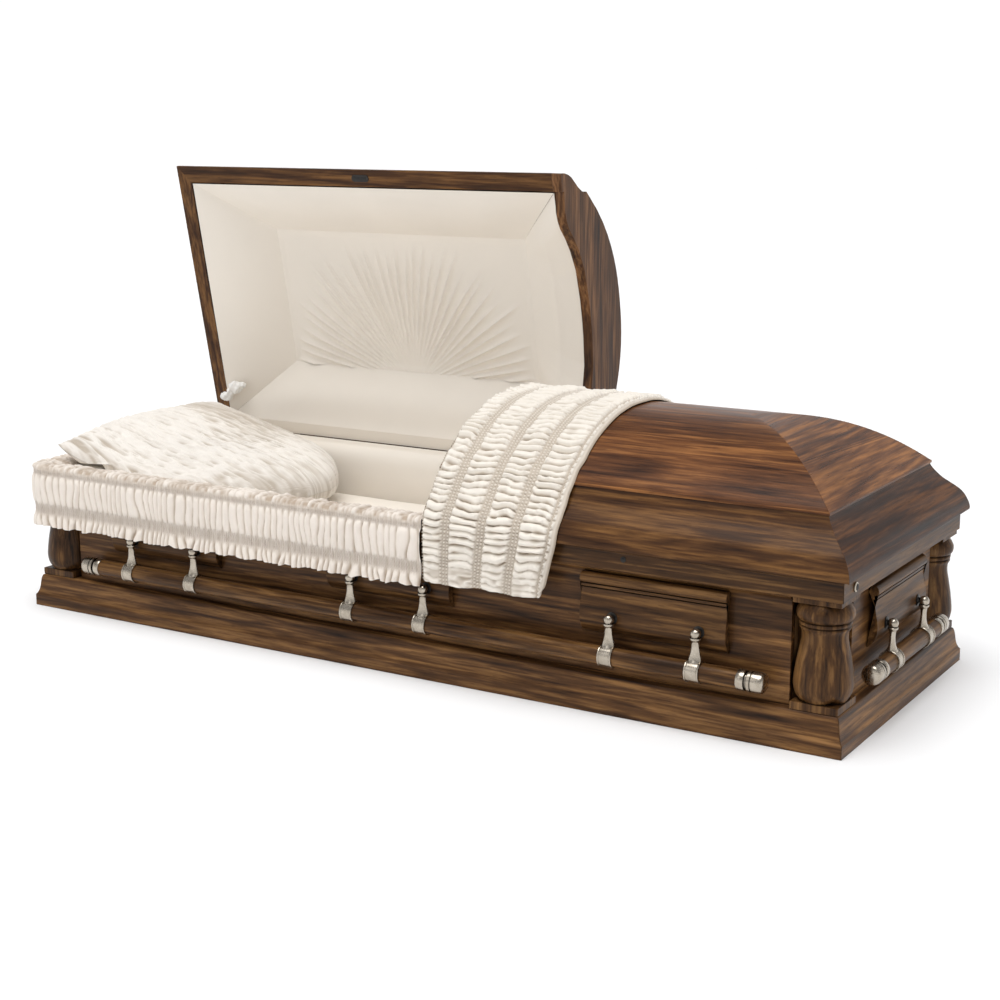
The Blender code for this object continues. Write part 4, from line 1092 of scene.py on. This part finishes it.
LATCH_X = CUT_X - 0.579
slots = [
    block("slot", (LATCH_X + x - 0.0075, -0.3562, 0.3474), (LATCH_X + x + 0.0075, -0.3494, 0.3486), shadow, 0.0004)
    for x in (-0.010, 0.010)
]
latch_slots = opened(united(slots, "latch_slots"))
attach(latch_slots, "head_lid")

def lump(spot, radii, seed):
    """A small crumpled ball of cloth."""
    turn, tilt = np.meshgrid(np.linspace(0, math.tau, 40, endpoint=False), np.linspace(0.02, math.pi - 0.02, 26))
    way = np.stack([np.sin(tilt) * np.cos(turn), np.sin(tilt) * np.sin(turn), np.cos(tilt)], -1)
    crease = 1 + 0.16 * np.sin(5 * turn + 3 * tilt + seed) * np.sin(tilt)
    crease += 0.12 * soft_noise(way[..., 0] * 3 + 7, way[..., 2] * 3 + way[..., 1] * 2 + 9, seed)
    return skin("lump", np.array(spot) + way * np.array(radii) * crease[..., None], knot_crepe, wrap_columns=True)


knots = united(
    [
        lump((-1.018, 0.334, 0.436), (0.018, 0.011, 0.013), 61),
        lump((-1.001, 0.332, 0.449), (0.011, 0.010, 0.012), 62),
        lump((-0.983, 0.332, 0.464), (0.020, 0.013, 0.017), 63),
        lump((-0.963, 0.334, 0.472), (0.013, 0.008, 0.008), 64),
    ],
    "stay_knots",
)
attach(knots, "head_lid")
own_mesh(knots)
print("fittings: keyhole, plug, latch slots, knotted cloth")

# %% [markdown]
# ## Floor and light
# The photograph was taken in a white cove: light comes from everywhere, and most from overhead,
# so the only shadow is a soft grey one under the base. A pale floor, a sky that is brightest at the
# horizon, a broad lamp overhead and a small one in front do that.

# %% Stage
floor_finish, floor_tree, floor_shader = new_finish("pale_floor")
floor_shader.inputs["Base Color"].default_value = (0.93, 0.93, 0.93, 1)
floor_shader.inputs["Roughness"].default_value = 0.9
bpy.ops.mesh.primitive_plane_add(size=60, location=(0, 0, 0))
floor = bpy.context.object
floor.name = "floor"
floor.data.materials.append(floor_finish)

world = bpy.data.worlds.new("studio")
bpy.context.scene.world = world
world.use_nodes = True
sky = world.node_tree
way = node(sky, "TexCoord").outputs["Generated"]
up = maths(sky, "ABSOLUTE", node(sky, "SeparateXYZ", {0: way}).outputs[2])
glow = ramp(sky, up, [(0.12, (1.0, 1.0, 1.0)), (0.45, (0.38, 0.38, 0.39))])
sky.links.new(glow, sky.nodes["Background"].inputs["Color"])
sky.nodes["Background"].inputs["Strength"].default_value = 1.03

sun_data = bpy.data.lights.new("overhead_lamp", "SUN")
sun_data.energy = 2.4
sun_data.angle = math.radians(50)
sun = bpy.data.objects.new("overhead_lamp", sun_data)
sun.rotation_euler = (math.radians(11), 0, 0)
bpy.context.scene.collection.objects.link(sun)

box_data = bpy.data.lights.new("front_lamp", "AREA")
box_data.size = 1.6
box_data.energy = 7
front_lamp = bpy.data.objects.new("front_lamp", box_data)
front_lamp.location = (-0.6, -3.2, 2.4)
front_lamp.rotation_euler = (Vector((0, 0, 0.3)) - front_lamp.location).to_track_quat("-Z", "Y").to_euler()
bpy.context.scene.collection.objects.link(front_lamp)
print("lamps: 2")
